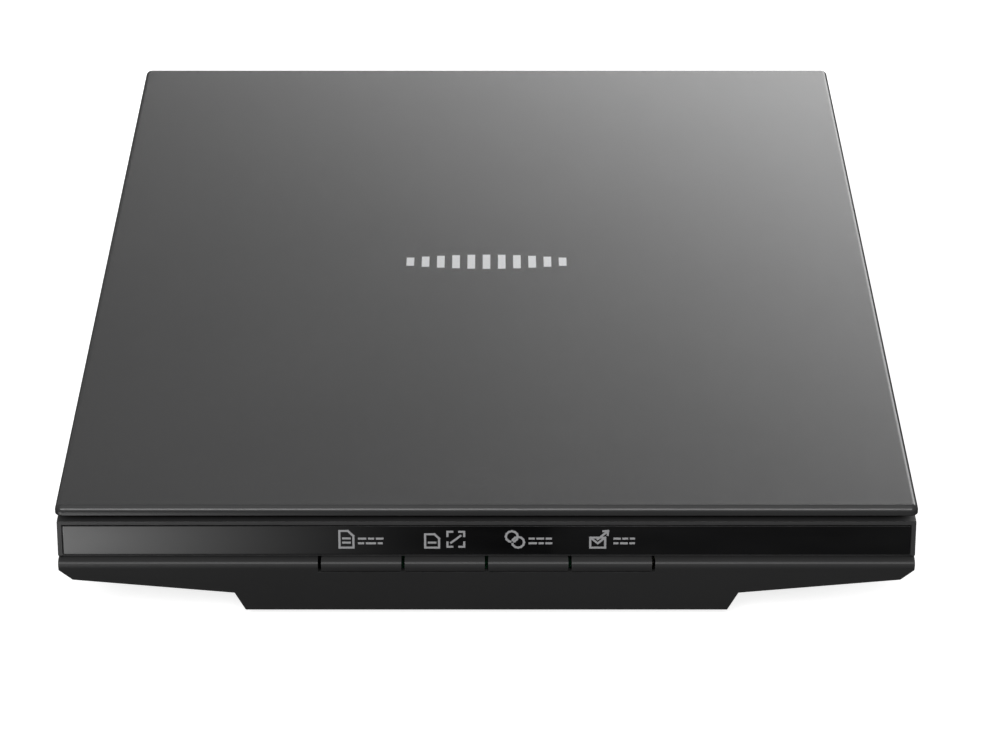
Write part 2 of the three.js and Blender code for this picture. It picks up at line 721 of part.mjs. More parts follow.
const lightLength = sensorHalfLength - 8;
node("sensor_housing", sensorHousing(), chipBlack, carriage);
node("sensor_window", box(around(0, sensorHalfLength - 4), [-5, 3], windowLevels), clearGlass, carriage);
node("lens_array", box(around(0, lightLength), around(0.8, 1), [sensorTop - 4.5, sensorTop - 1.8]), innerGrey, carriage);
node("light_guide", cylinder("x", 1.2, around(0, lightLength), [-2.9, sensorTop - 3.2], 12), white, carriage);
node("sensor_led", box(around(-lightLength - 1, 0.7), around(-2.9, 1.2), around(sensorTop - 3.2, 1.2)), white, carriage);
node("sensor_board", box(around(0, springX - 10), around(0, 7), [sensorBottom - 0.3, sensorBottom + 1]), boardGreen,
  carriage);
const padShape = box(around(0, 2), around(0, 6), [sensorTop + glueGap, sensorTop + glueGap + glideThickness]);
for (const [side, sign] of hingeSides) {
  node(`glide_pad_${side}`, padShape, acetal, carriage).position.x = sign * (sensorHalfLength - 4.5);
  const spring = node(`sensor_spring_${side}`, springShape(), steel, carriage);
  spring.position.set(sign * springX, 0, springSeat);
}

// ---------------------------------------------------------------- hinge legs

// A leg about its hinge axis: a shank in the case's socket and two knuckles beside the lid's.
function hingeLeg() {
  const front = legFront - hingeAxisY;
  const shankTop = -0.8;
  const shank = box(around(0, shankHalfWidth), [front, front + legThickness], [-legLength - 0.5, shankTop]);
  const neck = box(around(0, legHalfWidth), [front, -knuckleRadius - slipGap], [-knuckleRadius, shankTop]);
  let leg = join(shank, neck);
  for (const side of [-1, 1]) {
    const inner = knuckleHalf + slipGap;
    const span = side < 0 ? [-legHalfWidth, -inner] : [inner, legHalfWidth];
    const cheek = box(span, [front + 1, 0], [-knuckleRadius, shankTop]);
    leg = join(leg, cheek, cylinder("x", knuckleRadius, span, [0, 0], 28));
  }
  return cut(leg, cylinder("x", pinRadius + glueGap, around(0, reach / 2), [0, 0], 20));
}

// The lid's plate about the same axis, with the middle knuckle.
function lidHinge() {
  const levels = [1, lidUnder - glueGap - hingeAxisZ];
  const edge = -knuckleRadius - slipGap;
  const plate = box(around(0, legHalfWidth + 1), [-hingePlateLength, edge], levels);
  const tongue = box(around(0, knuckleHalf), [edge - 1, 0], levels);
  const barrel = cylinder("x", knuckleRadius, around(0, knuckleHalf), [0, 0], 28);
  return cut(join(plate, tongue, barrel), cylinder("x", pinRadius + seatGap, around(0, reach / 2), [0, 0], 20));
}

const pinShape = cylinder("x", pinRadius, around(0, legHalfWidth), [0, 0], 20);
for (const [side, sign] of hingeSides) {
  const place = [(sign * hingeSpacing) / 2, hingeAxisY, hingeAxisZ];
  node(`hinge_leg_${side}`, hingeLeg(), innerGrey).position.set(...place);
  node(`hinge_pin_${side}`, pinShape, steel).position.set(...place);
  node(`lid_hinge_${side}`, lidHinge(), innerGrey).position.set(...place);
}

// ---------------------------------------------------------------- lid

function lidCover() {
  const halfX = lidWidth / 2 - lidEdgeRound;
  const halfY = lidDepth / 2 - lidEdgeRound;
  const r = lidCornerRadius;
  const shape = new THREE.Shape();
  shape.moveTo(halfX, -halfY + r);
  shape.absarc(halfX - r, halfY - r, r, 0, Math.PI / 2);
  shape.absarc(-halfX + r, halfY - r, r, Math.PI / 2, Math.PI);
  shape.absarc(-halfX + r, -halfY + r, r, Math.PI, Math.PI * 1.5);
  shape.absarc(halfX - r, -halfY + r, r, Math.PI * 1.5, Math.PI * 2);
  const rounding = { bevelSize: lidEdgeRound, bevelThickness: lidEdgeRound, bevelSegments: 3, curveSegments: 4 };
  const slab = new THREE.ExtrudeGeometry(shape, { depth: 3 * lidRim, ...rounding });
  slab.translate(0, 0, overallHeight - 3 * lidRim - lidEdgeRound);
  const whole = solid(slab).intersect(box(around(0, reach), around(0, reach), [rimBottom, reach]));
  const hollow = box(around(0, lidWidth / 2 - lidRimWall), around(0, lidDepth / 2 - lidRimWall), [0, lidUnder]);
  return cut(whole, hollow);
}

function lidLiner() {
  const bottom = deckTop + seatGap;
  const back = hingeAxisY - 10;
  let liner = box(around(0, lidWidth / 2 - 5.5), [lidFront + 5.5, back], [bottom, lidUnder - glueGap]);
  liner = cut(liner, box(around(0, windowWidth / 2), [windowFront, windowBack], [0, reach]));
  for (const [, sign] of hingeSides) {
    const plateFront = hingeAxisY - hingePlateLength - slipGap;
    liner = cut(liner, box(around((sign * hingeSpacing) / 2, legHalfWidth + 1 + slipGap), [plateFront, reach], [0, reach]));
  }
  return liner;
}

const padHalf = windowWidth / 2 - padMargin;
const padSpan = [windowFront + padMargin, windowBack - padMargin];
const matBottom = glassTop + seatGap;
node("lid_cover", lidCover(), lidBlack);
node("lid_liner", lidLiner(), innerGrey);
node("document_mat", box(around(0, padHalf), padSpan, [matBottom, matBottom + matThickness]), white);
node("lid_foam", box(around(0, padHalf - 0.5), [padSpan[0] + 0.5, padSpan[1] - 0.5],
  [matBottom + matThickness + glueGap, lidUnder - glueGap]), foamGrey);

export default scene;
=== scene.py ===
"""Looks for a slim flatbed scanner: fine surfaces and materials around its fixed mechanical frame.

The file is laid out as an add-on with one operator for each piece or group of pieces, and runs as a script.
"""

import json
import math

import bmesh
import bpy
from bpy.props import FloatProperty, FloatVectorProperty, IntProperty, PointerProperty
from bpy.types import Operator, Panel, PropertyGroup
from mathutils import Matrix, Vector

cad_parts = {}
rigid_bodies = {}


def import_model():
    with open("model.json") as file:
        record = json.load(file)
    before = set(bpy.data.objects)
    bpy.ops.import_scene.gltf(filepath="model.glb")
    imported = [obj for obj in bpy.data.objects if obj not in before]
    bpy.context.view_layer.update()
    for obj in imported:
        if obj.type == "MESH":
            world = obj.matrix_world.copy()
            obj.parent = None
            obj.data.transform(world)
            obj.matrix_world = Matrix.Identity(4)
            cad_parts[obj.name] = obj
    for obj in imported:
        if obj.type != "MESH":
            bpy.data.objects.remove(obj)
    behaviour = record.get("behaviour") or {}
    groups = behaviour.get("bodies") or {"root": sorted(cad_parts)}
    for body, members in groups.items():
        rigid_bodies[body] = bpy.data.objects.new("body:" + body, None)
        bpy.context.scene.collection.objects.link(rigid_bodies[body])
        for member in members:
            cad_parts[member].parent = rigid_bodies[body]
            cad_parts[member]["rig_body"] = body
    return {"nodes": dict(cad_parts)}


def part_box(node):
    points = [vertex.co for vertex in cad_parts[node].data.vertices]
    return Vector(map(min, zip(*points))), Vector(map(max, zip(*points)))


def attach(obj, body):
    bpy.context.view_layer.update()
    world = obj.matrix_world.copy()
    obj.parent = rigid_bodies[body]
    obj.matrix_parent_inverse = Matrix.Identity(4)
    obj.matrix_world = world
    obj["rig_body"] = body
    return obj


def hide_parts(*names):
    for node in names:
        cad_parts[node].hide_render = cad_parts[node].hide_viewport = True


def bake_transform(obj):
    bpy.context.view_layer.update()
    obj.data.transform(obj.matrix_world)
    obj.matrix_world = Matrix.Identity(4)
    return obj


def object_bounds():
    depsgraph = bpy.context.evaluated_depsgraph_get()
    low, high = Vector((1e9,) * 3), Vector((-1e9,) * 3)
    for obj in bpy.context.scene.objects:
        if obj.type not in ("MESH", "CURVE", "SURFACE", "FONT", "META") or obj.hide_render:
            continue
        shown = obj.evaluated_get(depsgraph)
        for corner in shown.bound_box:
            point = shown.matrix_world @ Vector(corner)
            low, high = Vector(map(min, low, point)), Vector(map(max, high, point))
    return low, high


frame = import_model()
CAD_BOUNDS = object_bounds()

bl_info = {
    "name": "Flatbed Scanner",
    "version": (1, 0, 0),
    "blender": (4, 5, 0),
    "location": "View3D > Sidebar > Scanner",
    "description": "Builds the visible surfaces and finishes of a flatbed scanner around its frame",
    "category": "Object",
}

MM = 0.001
PLACES = ("front_left", "front_right", "back_left", "back_right")
SIDES = ("left", "right")
BUTTONS = (1, 2, 3, 4)
LEAST_ANGLE = math.radians(25)  # of an edge that is rounded


# ------------------------------------------------------------------ sizes and colours


def length(name, default, description):
    """A length in metres that a user may change."""
    return FloatProperty(name=name, description=description, default=default, unit="LENGTH", precision=5)


def colour(name, default, description):
    """A colour that a user may change."""
    return FloatVectorProperty(name=name, description=description, default=default, subtype="COLOR", size=3)


class ScannerSizes(PropertyGroup):
    """Sizes of the fine shapes that the frame leaves open."""

    edge_round: length("Edge rounding", 0.35 * MM, "Rounding of the moulded edges")
    lip_round: length("Lip rounding", 0.6 * MM, "Rounding along the front of the button lip")
    lid_round: length("Lid rounding", 1.7 * MM, "Rounding round the top of the lid")
    lid_corner: length("Lid corner", 2.2 * MM, "Corner radius of the lid, seen from above")
    emblem_width: length("Emblem width", 50 * MM, "Width of the mark on the lid")
    emblem_depth: length("Emblem depth", 9.5 * MM, "Depth of the mark on the lid")
    print_height: length("Print height", 0.05 * MM, "How far printed marks stand off their surface")
    symbol_size: length("Symbol size", 5.4 * MM, "Height of the symbols over the buttons")
    symbol_line: length("Symbol line", 0.62 * MM, "Line width of the symbols")
    round_steps: IntProperty(
        name="Rounding steps", description="Faces across a rounded edge", default=3, min=1
    )


class ScannerColours(PropertyGroup):
    """Colours of the visible finishes."""

    lid: colour("Lid", (0.036, 0.036, 0.0365), "Satin plastic of the lid")
    case: colour("Case", (0.040, 0.040, 0.0405), "Textured plastic of the case")
    inner: colour("Inner plastic", (0.028, 0.0285, 0.03), "Plastic of the inner mouldings")
    gloss: colour("Gloss panel", (0.0035, 0.0035, 0.0038), "Polished strip over the buttons")
    silver: colour("Silver print", (0.82, 0.83, 0.84), "Mark on the lid")
    symbol: colour("Symbol print", (0.40, 0.40, 0.41), "Symbols over the buttons")
    sheet: colour("White sheet", (0.80, 0.80, 0.78), "Mat that presses the page flat")
    foam: colour("Foam", (0.20, 0.205, 0.215), "Foam behind the mat")
    steel: colour("Steel", (0.56, 0.57, 0.59), "Rod, pins, screws and shells")
    brass: colour("Brass", (0.62, 0.43, 0.17), "Bush and pinion")
    acetal: colour("Acetal", (0.74, 0.71, 0.62), "Gear and rack")
    rubber: colour("Rubber", (0.013, 0.013, 0.014), "Feet")
    board: colour("Board", (0.012, 0.105, 0.045), "Circuit boards")
    copper: colour("Trace", (0.03, 0.22, 0.09), "Copper under the lacquer")
    chip: colour("Chip", (0.011, 0.011, 0.012), "Moulded chips and the sensor's housing")
    ribbon: colour("Ribbon", (0.70, 0.70, 0.67), "Flat cable")
    floor: colour("Floor", (0.82, 0.82, 0.82), "Floor that the scanner stands on")


def sizes():
    """The sizes in use."""
    return bpy.context.scene.scanner_sizes


def colours():
    """The colours in use."""
    return bpy.context.scene.scanner_colours


# ------------------------------------------------------------------ node wiring


def fill(tree, inputs, values):
    """Links the inputs whose value is a socket, and sets the others."""
    for key, value in values.items():
        if isinstance(value, bpy.types.NodeSocket):
            tree.links.new(value, inputs[key])
        else:
            inputs[key].default_value = value


def add_node(tree, kind, values=None, **settings):
    """A new node with its settings and inputs."""
    made = tree.nodes.new(kind)
    for key, value in settings.items():
        setattr(made, key, value)
    fill(tree, made.inputs, values or {})
    return made


def maths(tree, operation, first, second=0.0, clamp=False):
    """The result of a sum on numbers or sockets."""
    values = {0: first, 1: second}
    return add_node(tree, "ShaderNodeMath", values, operation=operation, use_clamp=clamp).outputs[0]


def blend_colours(tree, factor, first, second):
    """Two colours mixed by a factor."""
    values = {0: factor}
    for index, value in ((6, first), (7, second)):
        values[index] = value if isinstance(value, bpy.types.NodeSocket) else (*value[:3], 1.0)
    return add_node(tree, "ShaderNodeMix", values, data_type="RGBA").outputs[2]


def noise_value(tree, scale, detail=2.0, roughness=0.5, stretch=(1, 1, 1)):
    """Noise in the object's own space, in features per metre."""
    place = add_node(tree, "ShaderNodeTexCoord").outputs["Object"]
    mapping = add_node(tree, "ShaderNodeMapping", {"Vector": place, "Scale": stretch})
    values = {"Vector": mapping.outputs[0], "Scale": scale, "Detail": detail, "Roughness": roughness}
    return add_node(tree, "ShaderNodeTexNoise", values).outputs[0]


def spread(tree, value, low, high, to_low=0.0, to_high=1.0):
    """A value taken from one range to another, held at the ends."""
    values = {"Value": value, 1: low, 2: high, 3: to_low, 4: to_high}
    return add_node(tree, "ShaderNodeMapRange", values).outputs[0]


def shader_group(name, inputs, outputs):
    """A shader group with its sockets: (tree, input sockets, output node)."""
    tree = bpy.data.node_groups.new(name, "ShaderNodeTree")
    for label, kind, default in inputs:
        socket = tree.interface.new_socket(name=label, in_out="INPUT", socket_type=kind)
        socket.default_value = default
    for label, kind in outputs:
        tree.interface.new_socket(name=label, in_out="OUTPUT", socket_type=kind)
    source = tree.nodes.new("NodeGroupInput")
    target = tree.nodes.new("NodeGroupOutput")
    return tree, source.outputs, target


def build_moulded_grain(name):
    """Spark-eroded grain: a slight change of colour and roughness, and a fine height."""
    inputs = (
        ("Colour", "NodeSocketColor", (0.5, 0.5, 0.5, 1)),
        ("Roughness", "NodeSocketFloat", 0.5),
        ("Grain", "NodeSocketFloat", 4000.0),
        ("Variation", "NodeSocketFloat", 0.12),
    )
    outputs = (
        ("Colour", "NodeSocketColor"),
        ("Roughness", "NodeSocketFloat"),
        ("Height", "NodeSocketFloat"),
    )
    tree, given, target = shader_group(name, inputs, outputs)
    fine = noise_value(tree, given["Grain"], 3.0, 0.6)
    broad = noise_value(tree, 14.0, 3.0, 0.5)
    grain = maths(tree, "ADD", maths(tree, "MULTIPLY", fine, 0.5), maths(tree, "MULTIPLY", broad, 0.5))
    swing = maths(tree, "MULTIPLY", maths(tree, "SUBTRACT", grain, 0.5), given["Variation"])
    gain = maths(tree, "ADD", maths(tree, "MULTIPLY", swing, 3.0), 1.0)
    values = {0: given["Colour"], "Scale": gain}
    tint = add_node(tree, "ShaderNodeVectorMath", values, operation="SCALE")
    rough = maths(tree, "ADD", given["Roughness"], swing, clamp=True)
    fill(tree, target.inputs, {"Colour": tint.outputs[0], "Roughness": rough, "Height": fine})
    return tree


def build_edge_wear(name):
    """A mask of the edges, where handling has polished the surface."""
    inputs = (("Width", "NodeSocketFloat", 0.0006), ("Amount", "NodeSocketFloat", 0.5))
    tree, given, target = shader_group(name, inputs, (("Mask", "NodeSocketFloat"),))
    rounded = add_node(tree, "ShaderNodeBevel", {"Radius": given["Width"]}, samples=4)
    flat = add_node(tree, "ShaderNodeNewGeometry").outputs["Normal"]
    both = {0: rounded.outputs[0], 1: flat}
    facing = add_node(tree, "ShaderNodeVectorMath", both, operation="DOT_PRODUCT").outputs["Value"]
    edge = spread(tree, facing, 0.995, 0.90)
    patchy = spread(tree, noise_value(tree, 260.0, 3.0), 0.35, 0.65)
    mask = maths(tree, "MULTIPLY", maths(tree, "MULTIPLY", edge, patchy), given["Amount"])
    tree.links.new(mask, target.inputs["Mask"])
    return tree


def build_dust(name):
    """A mask of the fine dust that settles on what faces up."""
    inputs = (("Amount", "NodeSocketFloat", 0.1), ("Speck", "NodeSocketFloat", 900.0))
    tree, given, target = shader_group(name, inputs, (("Mask", "NodeSocketFloat"),))
    normal = add_node(tree, "ShaderNodeNewGeometry").outputs["Normal"]
    upward = add_node(tree, "ShaderNodeSeparateXYZ", {0: normal}).outputs["Z"]
    film = spread(tree, noise_value(tree, 22.0, 4.0, 0.6), 0.35, 0.75)
    specks = spread(tree, noise_value(tree, given["Speck"], 2.0, 0.7), 0.66, 0.74)
    mixed = maths(tree, "ADD", maths(tree, "MULTIPLY", film, 0.35), maths(tree, "MULTIPLY", specks, 0.65))
    mask = maths(tree, "MULTIPLY", maths(tree, "MULTIPLY", mixed, given["Amount"]), upward, clamp=True)
    tree.links.new(mask, target.inputs["Mask"])
    return tree


def build_drawn_lines(name):
    """Fine lines from drawing, turning or brushing, along one axis."""
    inputs = (
        ("Colour", "NodeSocketColor", (0.5, 0.5, 0.5, 1)),
        ("Roughness", "NodeSocketFloat", 0.3),
        ("Lines", "NodeSocketFloat", 900.0),
    )
    outputs = (
        ("Colour", "NodeSocketColor"),
        ("Roughness", "NodeSocketFloat"),
        ("Height", "NodeSocketFloat"),
    )
    tree, given, target = shader_group(name, inputs, outputs)
    lines = noise_value(tree, given["Lines"], 2.0, 0.6, stretch=(1, 0.02, 1))
    smear = noise_value(tree, 60.0, 3.0)
    tint = blend_colours(tree, spread(tree, smear, 0.3, 0.7, 0.0, 0.22), given["Colour"], (0.25, 0.25, 0.26))
    rough = maths(tree, "ADD", given["Roughness"], spread(tree, lines, 0.3, 0.7, -0.06, 0.1), clamp=True)
    fill(tree, target.inputs, {"Colour": tint, "Roughness": rough, "Height": lines})
    return tree


def use_group(tree, name, build, values):
    """A group, built once, placed in a material with its own values."""
    group = bpy.data.node_groups.get(name) or build(name)
    return add_node(tree, "ShaderNodeGroup", values, node_tree=group).outputs


# ------------------------------------------------------------------ materials


def new_material(name):
    """An empty material with its shader: (material, tree, shader)."""
    material = bpy.data.materials.new(name)
    material.use_nodes = True
    return material, material.node_tree, material.node_tree.nodes["Principled BSDF"]


def bump(tree, shader, height, distance, strength=1.0):
    """A height carried to the shader's normal."""
    values = {"Height": height, "Distance": distance, "Strength": strength}
    tree.links.new(add_node(tree, "ShaderNodeBump", values).outputs[0], shader.inputs["Normal"])


def moulded(name, tint, roughness, grain, depth, wear=0.5, dust=0.1, variation=0.12):
    """Textured injection-moulded plastic with polished edges and a little dust."""
    material, tree, shader = new_material(name)
    values = {"Colour": (*tint, 1), "Roughness": roughness, "Grain": grain, "Variation": variation}
    skin = use_group(tree, "Moulded Grain", build_moulded_grain, values)
    edge = use_group(tree, "Edge Wear", build_edge_wear, {"Amount": wear})["Mask"]
    settled = use_group(tree, "Dust", build_dust, {"Amount": dust})["Mask"]
    polished = tuple(min(1.0, part * 1.9 + 0.01) for part in tint)
    base = blend_colours(tree, edge, skin["Colour"], polished)
    base = blend_colours(tree, settled, base, (0.32, 0.31, 0.30))
    rough = maths(tree, "SUBTRACT", skin["Roughness"], maths(tree, "MULTIPLY", edge, 0.15), clamp=True)
    fill(tree, shader.inputs, {"Base Color": base, "Roughness": rough})
    bump(tree, shader, skin["Height"], depth)
    return material


def metal(name, tint, roughness, lines, depth=0.00001):
    """Drawn or turned metal."""
    material, tree, shader = new_material(name)
    values = {"Colour": (*tint, 1), "Roughness": roughness, "Lines": lines}
    skin = use_group(tree, "Drawn Lines", build_drawn_lines, values)
    values = {"Base Color": skin["Colour"], "Roughness": skin["Roughness"], "Metallic": 1.0}
    fill(tree, shader.inputs, values)
    bump(tree, shader, skin["Height"], depth)
    return material


def gloss_panel():
    """Polished black panel with faint wipe marks and a hard clear coat."""
    material, tree, shader = new_material("gloss_panel")
    tint = (*colours().gloss, 1)
    wiped = noise_value(tree, 90.0, 3.0, 0.5, stretch=(0.25, 1, 1))
    smudge = spread(tree, wiped, 0.4, 0.75)
    dust = use_group(tree, "Dust", build_dust, {"Amount": 0.05, "Speck": 1500.0})["Mask"]
    base = blend_colours(tree, maths(tree, "MULTIPLY", smudge, 0.02), tint, (0.2, 0.2, 0.2))
    base = blend_colours(tree, dust, base, (0.3, 0.3, 0.3))
    rough = spread(tree, smudge, 0.0, 1.0, 0.13, 0.2)
    fill(tree, shader.inputs, {"Base Color": base, "Roughness": rough})
    fill(tree, shader.inputs, {"Coat Weight": 0.5, "Coat Roughness": 0.06})
    bump(tree, shader, wiped, 0.00002, 0.4)
    return material


def clear_glass():
    """Float glass with a green body, faint smears and a few specks."""
    material, tree, shader = new_material("clear_glass")
    smear = noise_value(tree, 40.0, 3.0)
    speck = use_group(tree, "Dust", build_dust, {"Amount": 0.06, "Speck": 1200.0})["Mask"]
    base = blend_colours(tree, speck, (0.90, 0.965, 0.945), (0.5, 0.5, 0.5))
    rough = spread(tree, smear, 0.35, 0.8, 0.015, 0.06)
    fill(tree, shader.inputs, {"Base Color": base, "Roughness": rough, "Transmission Weight": 1.0, "IOR": 1.5})
    return material


def white_sheet():
    """Matt white film, very slightly uneven and greyed where it has been handled."""
    material, tree, shader = new_material("white_sheet")
    values = {"Colour": (*colours().sheet, 1), "Roughness": 0.6, "Grain": 2500.0, "Variation": 0.03}
    skin = use_group(tree, "Moulded Grain", build_moulded_grain, values)
    marks = spread(tree, noise_value(tree, 18.0, 5.0, 0.6), 0.55, 0.85, 0.0, 0.15)
    base = blend_colours(tree, marks, skin["Colour"], (0.55, 0.54, 0.50))
    fill(tree, shader.inputs, {"Base Color": base, "Roughness": skin["Roughness"]})
    bump(tree, shader, skin["Height"], 0.00003)
    return material


def cell_foam():
    """Closed-cell foam: small round cells, with painted shade that darkens each cell's hollow."""
    material, tree, shader = new_material("cell_foam")
    place = add_node(tree, "ShaderNodeTexCoord").outputs["Object"]
    cells = add_node(tree, "ShaderNodeTexVoronoi", {"Vector": place, "Scale": 1400.0}).outputs["Distance"]
    pit_shade_mask = spread(tree, cells, 0.1, 0.6)
    # painted shade: the base colour is darker in each cell's hollow, where shade falls
    dark = tuple(part * 0.45 for part in colours().foam)
    base = blend_colours(tree, pit_shade_mask, dark, colours().foam)
    fill(tree, shader.inputs, {"Base Color": base, "Roughness": spread(tree, pit_shade_mask, 0.0, 1.0, 0.95, 0.8)})
    bump(tree, shader, cells, 0.0002)
    return material


def circuit_board():
    """Lacquered board: copper traces under green lacquer, and tinned dots."""
    material, tree, shader = new_material("circuit_board")
    place = add_node(tree, "ShaderNodeTexCoord").outputs["Object"]
    values = {"Vector": place, "Scale": 420.0, "Randomness": 0.35}
    cells = add_node(tree, "ShaderNodeTexVoronoi", values, distance="MANHATTAN", feature="F2")
    tracks = maths(tree, "MULTIPLY", cells.outputs["Distance"], 3.0)
    lines = maths(tree, "LESS_THAN", maths(tree, "FRACT", tracks), 0.4)
    vias = add_node(tree, "ShaderNodeTexVoronoi", {"Vector": place, "Scale": 260.0}).outputs["Distance"]
    dots = maths(tree, "LESS_THAN", vias, 0.13)
    base = blend_colours(tree, lines, colours().board, colours().copper)
    base = blend_colours(tree, dots, base, (0.62, 0.62, 0.6))
    rough = spread(tree, lines, 0.0, 1.0, 0.34, 0.42)
    fill(tree, shader.inputs, {"Base Color": base, "Roughness": rough, "Coat Weight": 0.3})
    bump(tree, shader, lines, 0.00004)
    return material


def ribbon_film():
    """White flat cable with its conductors showing as fine grey lines."""
    material, tree, shader = new_material("ribbon_film")
    place = add_node(tree, "ShaderNodeTexCoord").outputs["Object"]
    across = add_node(tree, "ShaderNodeSeparateXYZ", {0: place}).outputs["X"]
    wires = maths(tree, "PINGPONG", maths(tree, "MULTIPLY", across, 2000.0), 1.0)
    mask = spread(tree, wires, 0.25, 0.75, 0.0, 0.5)
    base = blend_colours(tree, mask, colours().ribbon, (0.42, 0.42, 0.42))
    fill(tree, shader.inputs, {"Base Color": base, "Roughness": 0.4})
    bump(tree, shader, wires, 0.00005)
    return material


def printed(name, tint, roughness, metallic=0.0):
    """Screen-printed ink, with a slightly broken cover."""
    material, tree, shader = new_material(name)
    cover = spread(tree, noise_value(tree, 2600.0, 2.0), 0.3, 0.6, 0.82, 1.0)
    base = blend_colours(tree, cover, tuple(part * 0.6 for part in tint), tint)
    rough = spread(tree, cover, 0.8, 1.0, roughness + 0.1, roughness)
    fill(tree, shader.inputs, {"Base Color": base, "Roughness": rough, "Metallic": metallic})
    return material


MATERIALS = {
    "lid": lambda: moulded("lid_satin", colours().lid, 0.26, 5200.0, 0.000012, 0.25, 0.03, 0.05),
    "case": lambda: moulded("case_black", colours().case, 0.5, 6500.0, 0.000012, 0.5, 0.05),
    # painted shade: the rim finish is darker than the case, partly a glossier bezel and partly painted shade
    # under the lid's edge
    "rim": lambda: moulded("case_rim_gloss_and_painted_shade", (0.012, 0.012, 0.0125), 0.26, 5200.0, 0.000008, 0.2, 0.02),
    "inner": lambda: moulded("inner_plastic", colours().inner, 0.55, 3500.0, 0.00002, 0.3, 0.06),
    "chip": lambda: moulded("chip_black", colours().chip, 0.42, 6000.0, 0.00001, 0.2, 0.03),
    "acetal": lambda: moulded("acetal", colours().acetal, 0.38, 3000.0, 0.00001, 0.15, 0.04, 0.05),
    "rubber": lambda: moulded("foot_rubber", colours().rubber, 0.85, 2600.0, 0.00005, 0.35, 0.25),
    "steel": lambda: metal("bright_steel", colours().steel, 0.24, 1600.0),
    "brass": lambda: metal("turned_brass", colours().brass, 0.28, 2200.0),
    "gloss": gloss_panel,
    "glass": clear_glass,
    "sheet": white_sheet,
    "foam": cell_foam,
    "board": circuit_board,
    "ribbon": ribbon_film,
    "white": lambda: moulded("white_plastic", (0.74, 0.74, 0.71), 0.45, 3000.0, 0.00001, 0.1, 0.02, 0.03),
    "silver": lambda: printed("silver_print", colours().silver, 0.3, 0.35),
    "symbol": lambda: printed("symbol_print", colours().symbol, 0.45),
}
made_materials = {}


def material(key):
    """A finish, made when it is first asked for."""
    if key not in made_materials:
        made_materials[key] = MATERIALS[key]()
    return made_materials[key]


def paint(obj, key):
    """Gives an object its finish."""
    obj.data.materials.clear()
    obj.data.materials.append(material(key))


# ------------------------------------------------------------------ mesh tools


def set_shading(mesh, angle):
    """Smooth normals that lean to the larger faces, so that flats stay flat, within an angle in degrees."""
    limit = math.cos(math.radians(angle))
    around = [[] for vertex in mesh.vertices]
    faces = []
    for face in mesh.polygons:
        face.use_smooth = True
        part = (tuple(face.vertices), face.normal.copy(), face.area)
        faces.append(part)
        for vertex in part[0]:
            around[vertex].append(part)
    normals = []
    for vertices, normal, area in faces:
        for vertex in vertices:
            total = normal * area
            for other in around[vertex]:
                if normal.dot(other[1]) > limit:
                    total = total + other[1] * other[2]
            normals.append(total.normalized())
    mesh.normals_split_custom_set(normals)


def add_object(name, data):
    """A new object in the scene."""
    obj = bpy.data.objects.new(name, data)
    bpy.context.scene.collection.objects.link(obj)
    return obj


def new_piece(name, bm, key, angle=32):
    """Turns a mesh in the making into a painted piece in the scene."""
    bmesh.ops.recalc_face_normals(bm, faces=bm.faces[:])
    mesh = bpy.data.meshes.new(name)
    bm.to_mesh(mesh)
    bm.free()
    set_shading(mesh, angle)
    obj = add_object(name, mesh)
    paint(obj, key)
    return obj


def bend_piece(obj, node, bodies, start, end):
    """Stands a piece in for a node: hides the node and bakes the piece's transform."""
    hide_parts(node)
    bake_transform(obj)


def place_piece(name, bm, key, body, replaced=(), angle=32):
    """Turns a mesh in the making into a finished piece that rides on a body."""
    obj = new_piece(name, bm, key, angle)
    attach(obj, body)
    if replaced:
        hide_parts(*replaced)
    return obj


def body_of(node):
    """The body that a node belongs to."""
    return frame["nodes"][node]["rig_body"]


def stand_in(node, ending, bm, key):
    """Turns a mesh in the making into the piece that stands for a node."""
    return place_piece(f"{node}_{ending}", bm, key, body_of(node), [node])


def node_mesh(node):
    """A node's shape with its flat faces made whole again."""
    bm = bmesh.new()
    bm.from_mesh(frame["nodes"][node].data)
    bmesh.ops.remove_doubles(bm, verts=bm.verts[:], dist=0.002 * MM)
    flat = math.radians(0.5)
    bmesh.ops.dissolve_limit(bm, angle_limit=flat, verts=bm.verts[:], edges=bm.edges[:])
    return bm


def round_edges(bm, width, wanted=lambda edge: True, steps=None):
    """Rounds the edges that turn by more than the least angle and are wanted."""
    edges = []
    for edge in bm.edges:
        if len(edge.link_faces) != 2 or edge.calc_face_angle(0.0) < LEAST_ANGLE:
            continue
        if edge.calc_length() > 2 * width and wanted(edge):
            edges.append(edge)
    if edges:
        settings = {"offset": width, "segments": steps or sizes().round_steps, "profile": 0.5}
        bmesh.ops.bevel(bm, geom=edges, affect="EDGES", clamp_overlap=True, **settings)
    return len(edges)


def softened(node, key, width=None, wanted=lambda edge: True):
    """A node's shape with rounded edges, standing for the node."""
    bm = node_mesh(node)
    round_edges(bm, width or sizes().edge_round, wanted)
    return stand_in(node, "skin", bm, key)


def bridge(bm, rings):
    """Skins a row of rings with the same number of points, and closes both ends."""
    loops = [[bm.verts.new(point) for point in ring] for ring in rings]
    count = len(loops[0])
    for lower, upper in zip(loops, loops[1:]):
        for index in range(count):
            after = (index + 1) % count
            bm.faces.new((lower[index], lower[after], upper[after], upper[index]))
    bm.faces.new(loops[0][::-1])
    bm.faces.new(loops[-1])


def quarter(steps):
    """Angles from nought to a right angle."""
    return [math.pi / 2 * step / steps for step in range(steps + 1)]


def rectangle(low, high, inset, radius, steps=5):
    """Points (x, y) round a rectangle with rounded corners."""
    radius = max(radius, 0.02 * MM)
    x0, y0 = low[0] + inset + radius, low[1] + inset + radius
    x1, y1 = high[0] - inset - radius, high[1] - inset - radius
    corners = ((x1, y0, -90), (x1, y1, 0), (x0, y1, 90), (x0, y0, 180))
    points = []
    for x, y, start in corners:
        for step in range(steps + 1):
            turn = math.radians(start + 90 * step / steps)
            points.append((x + radius * math.cos(turn), y + radius * math.sin(turn)))
    return points


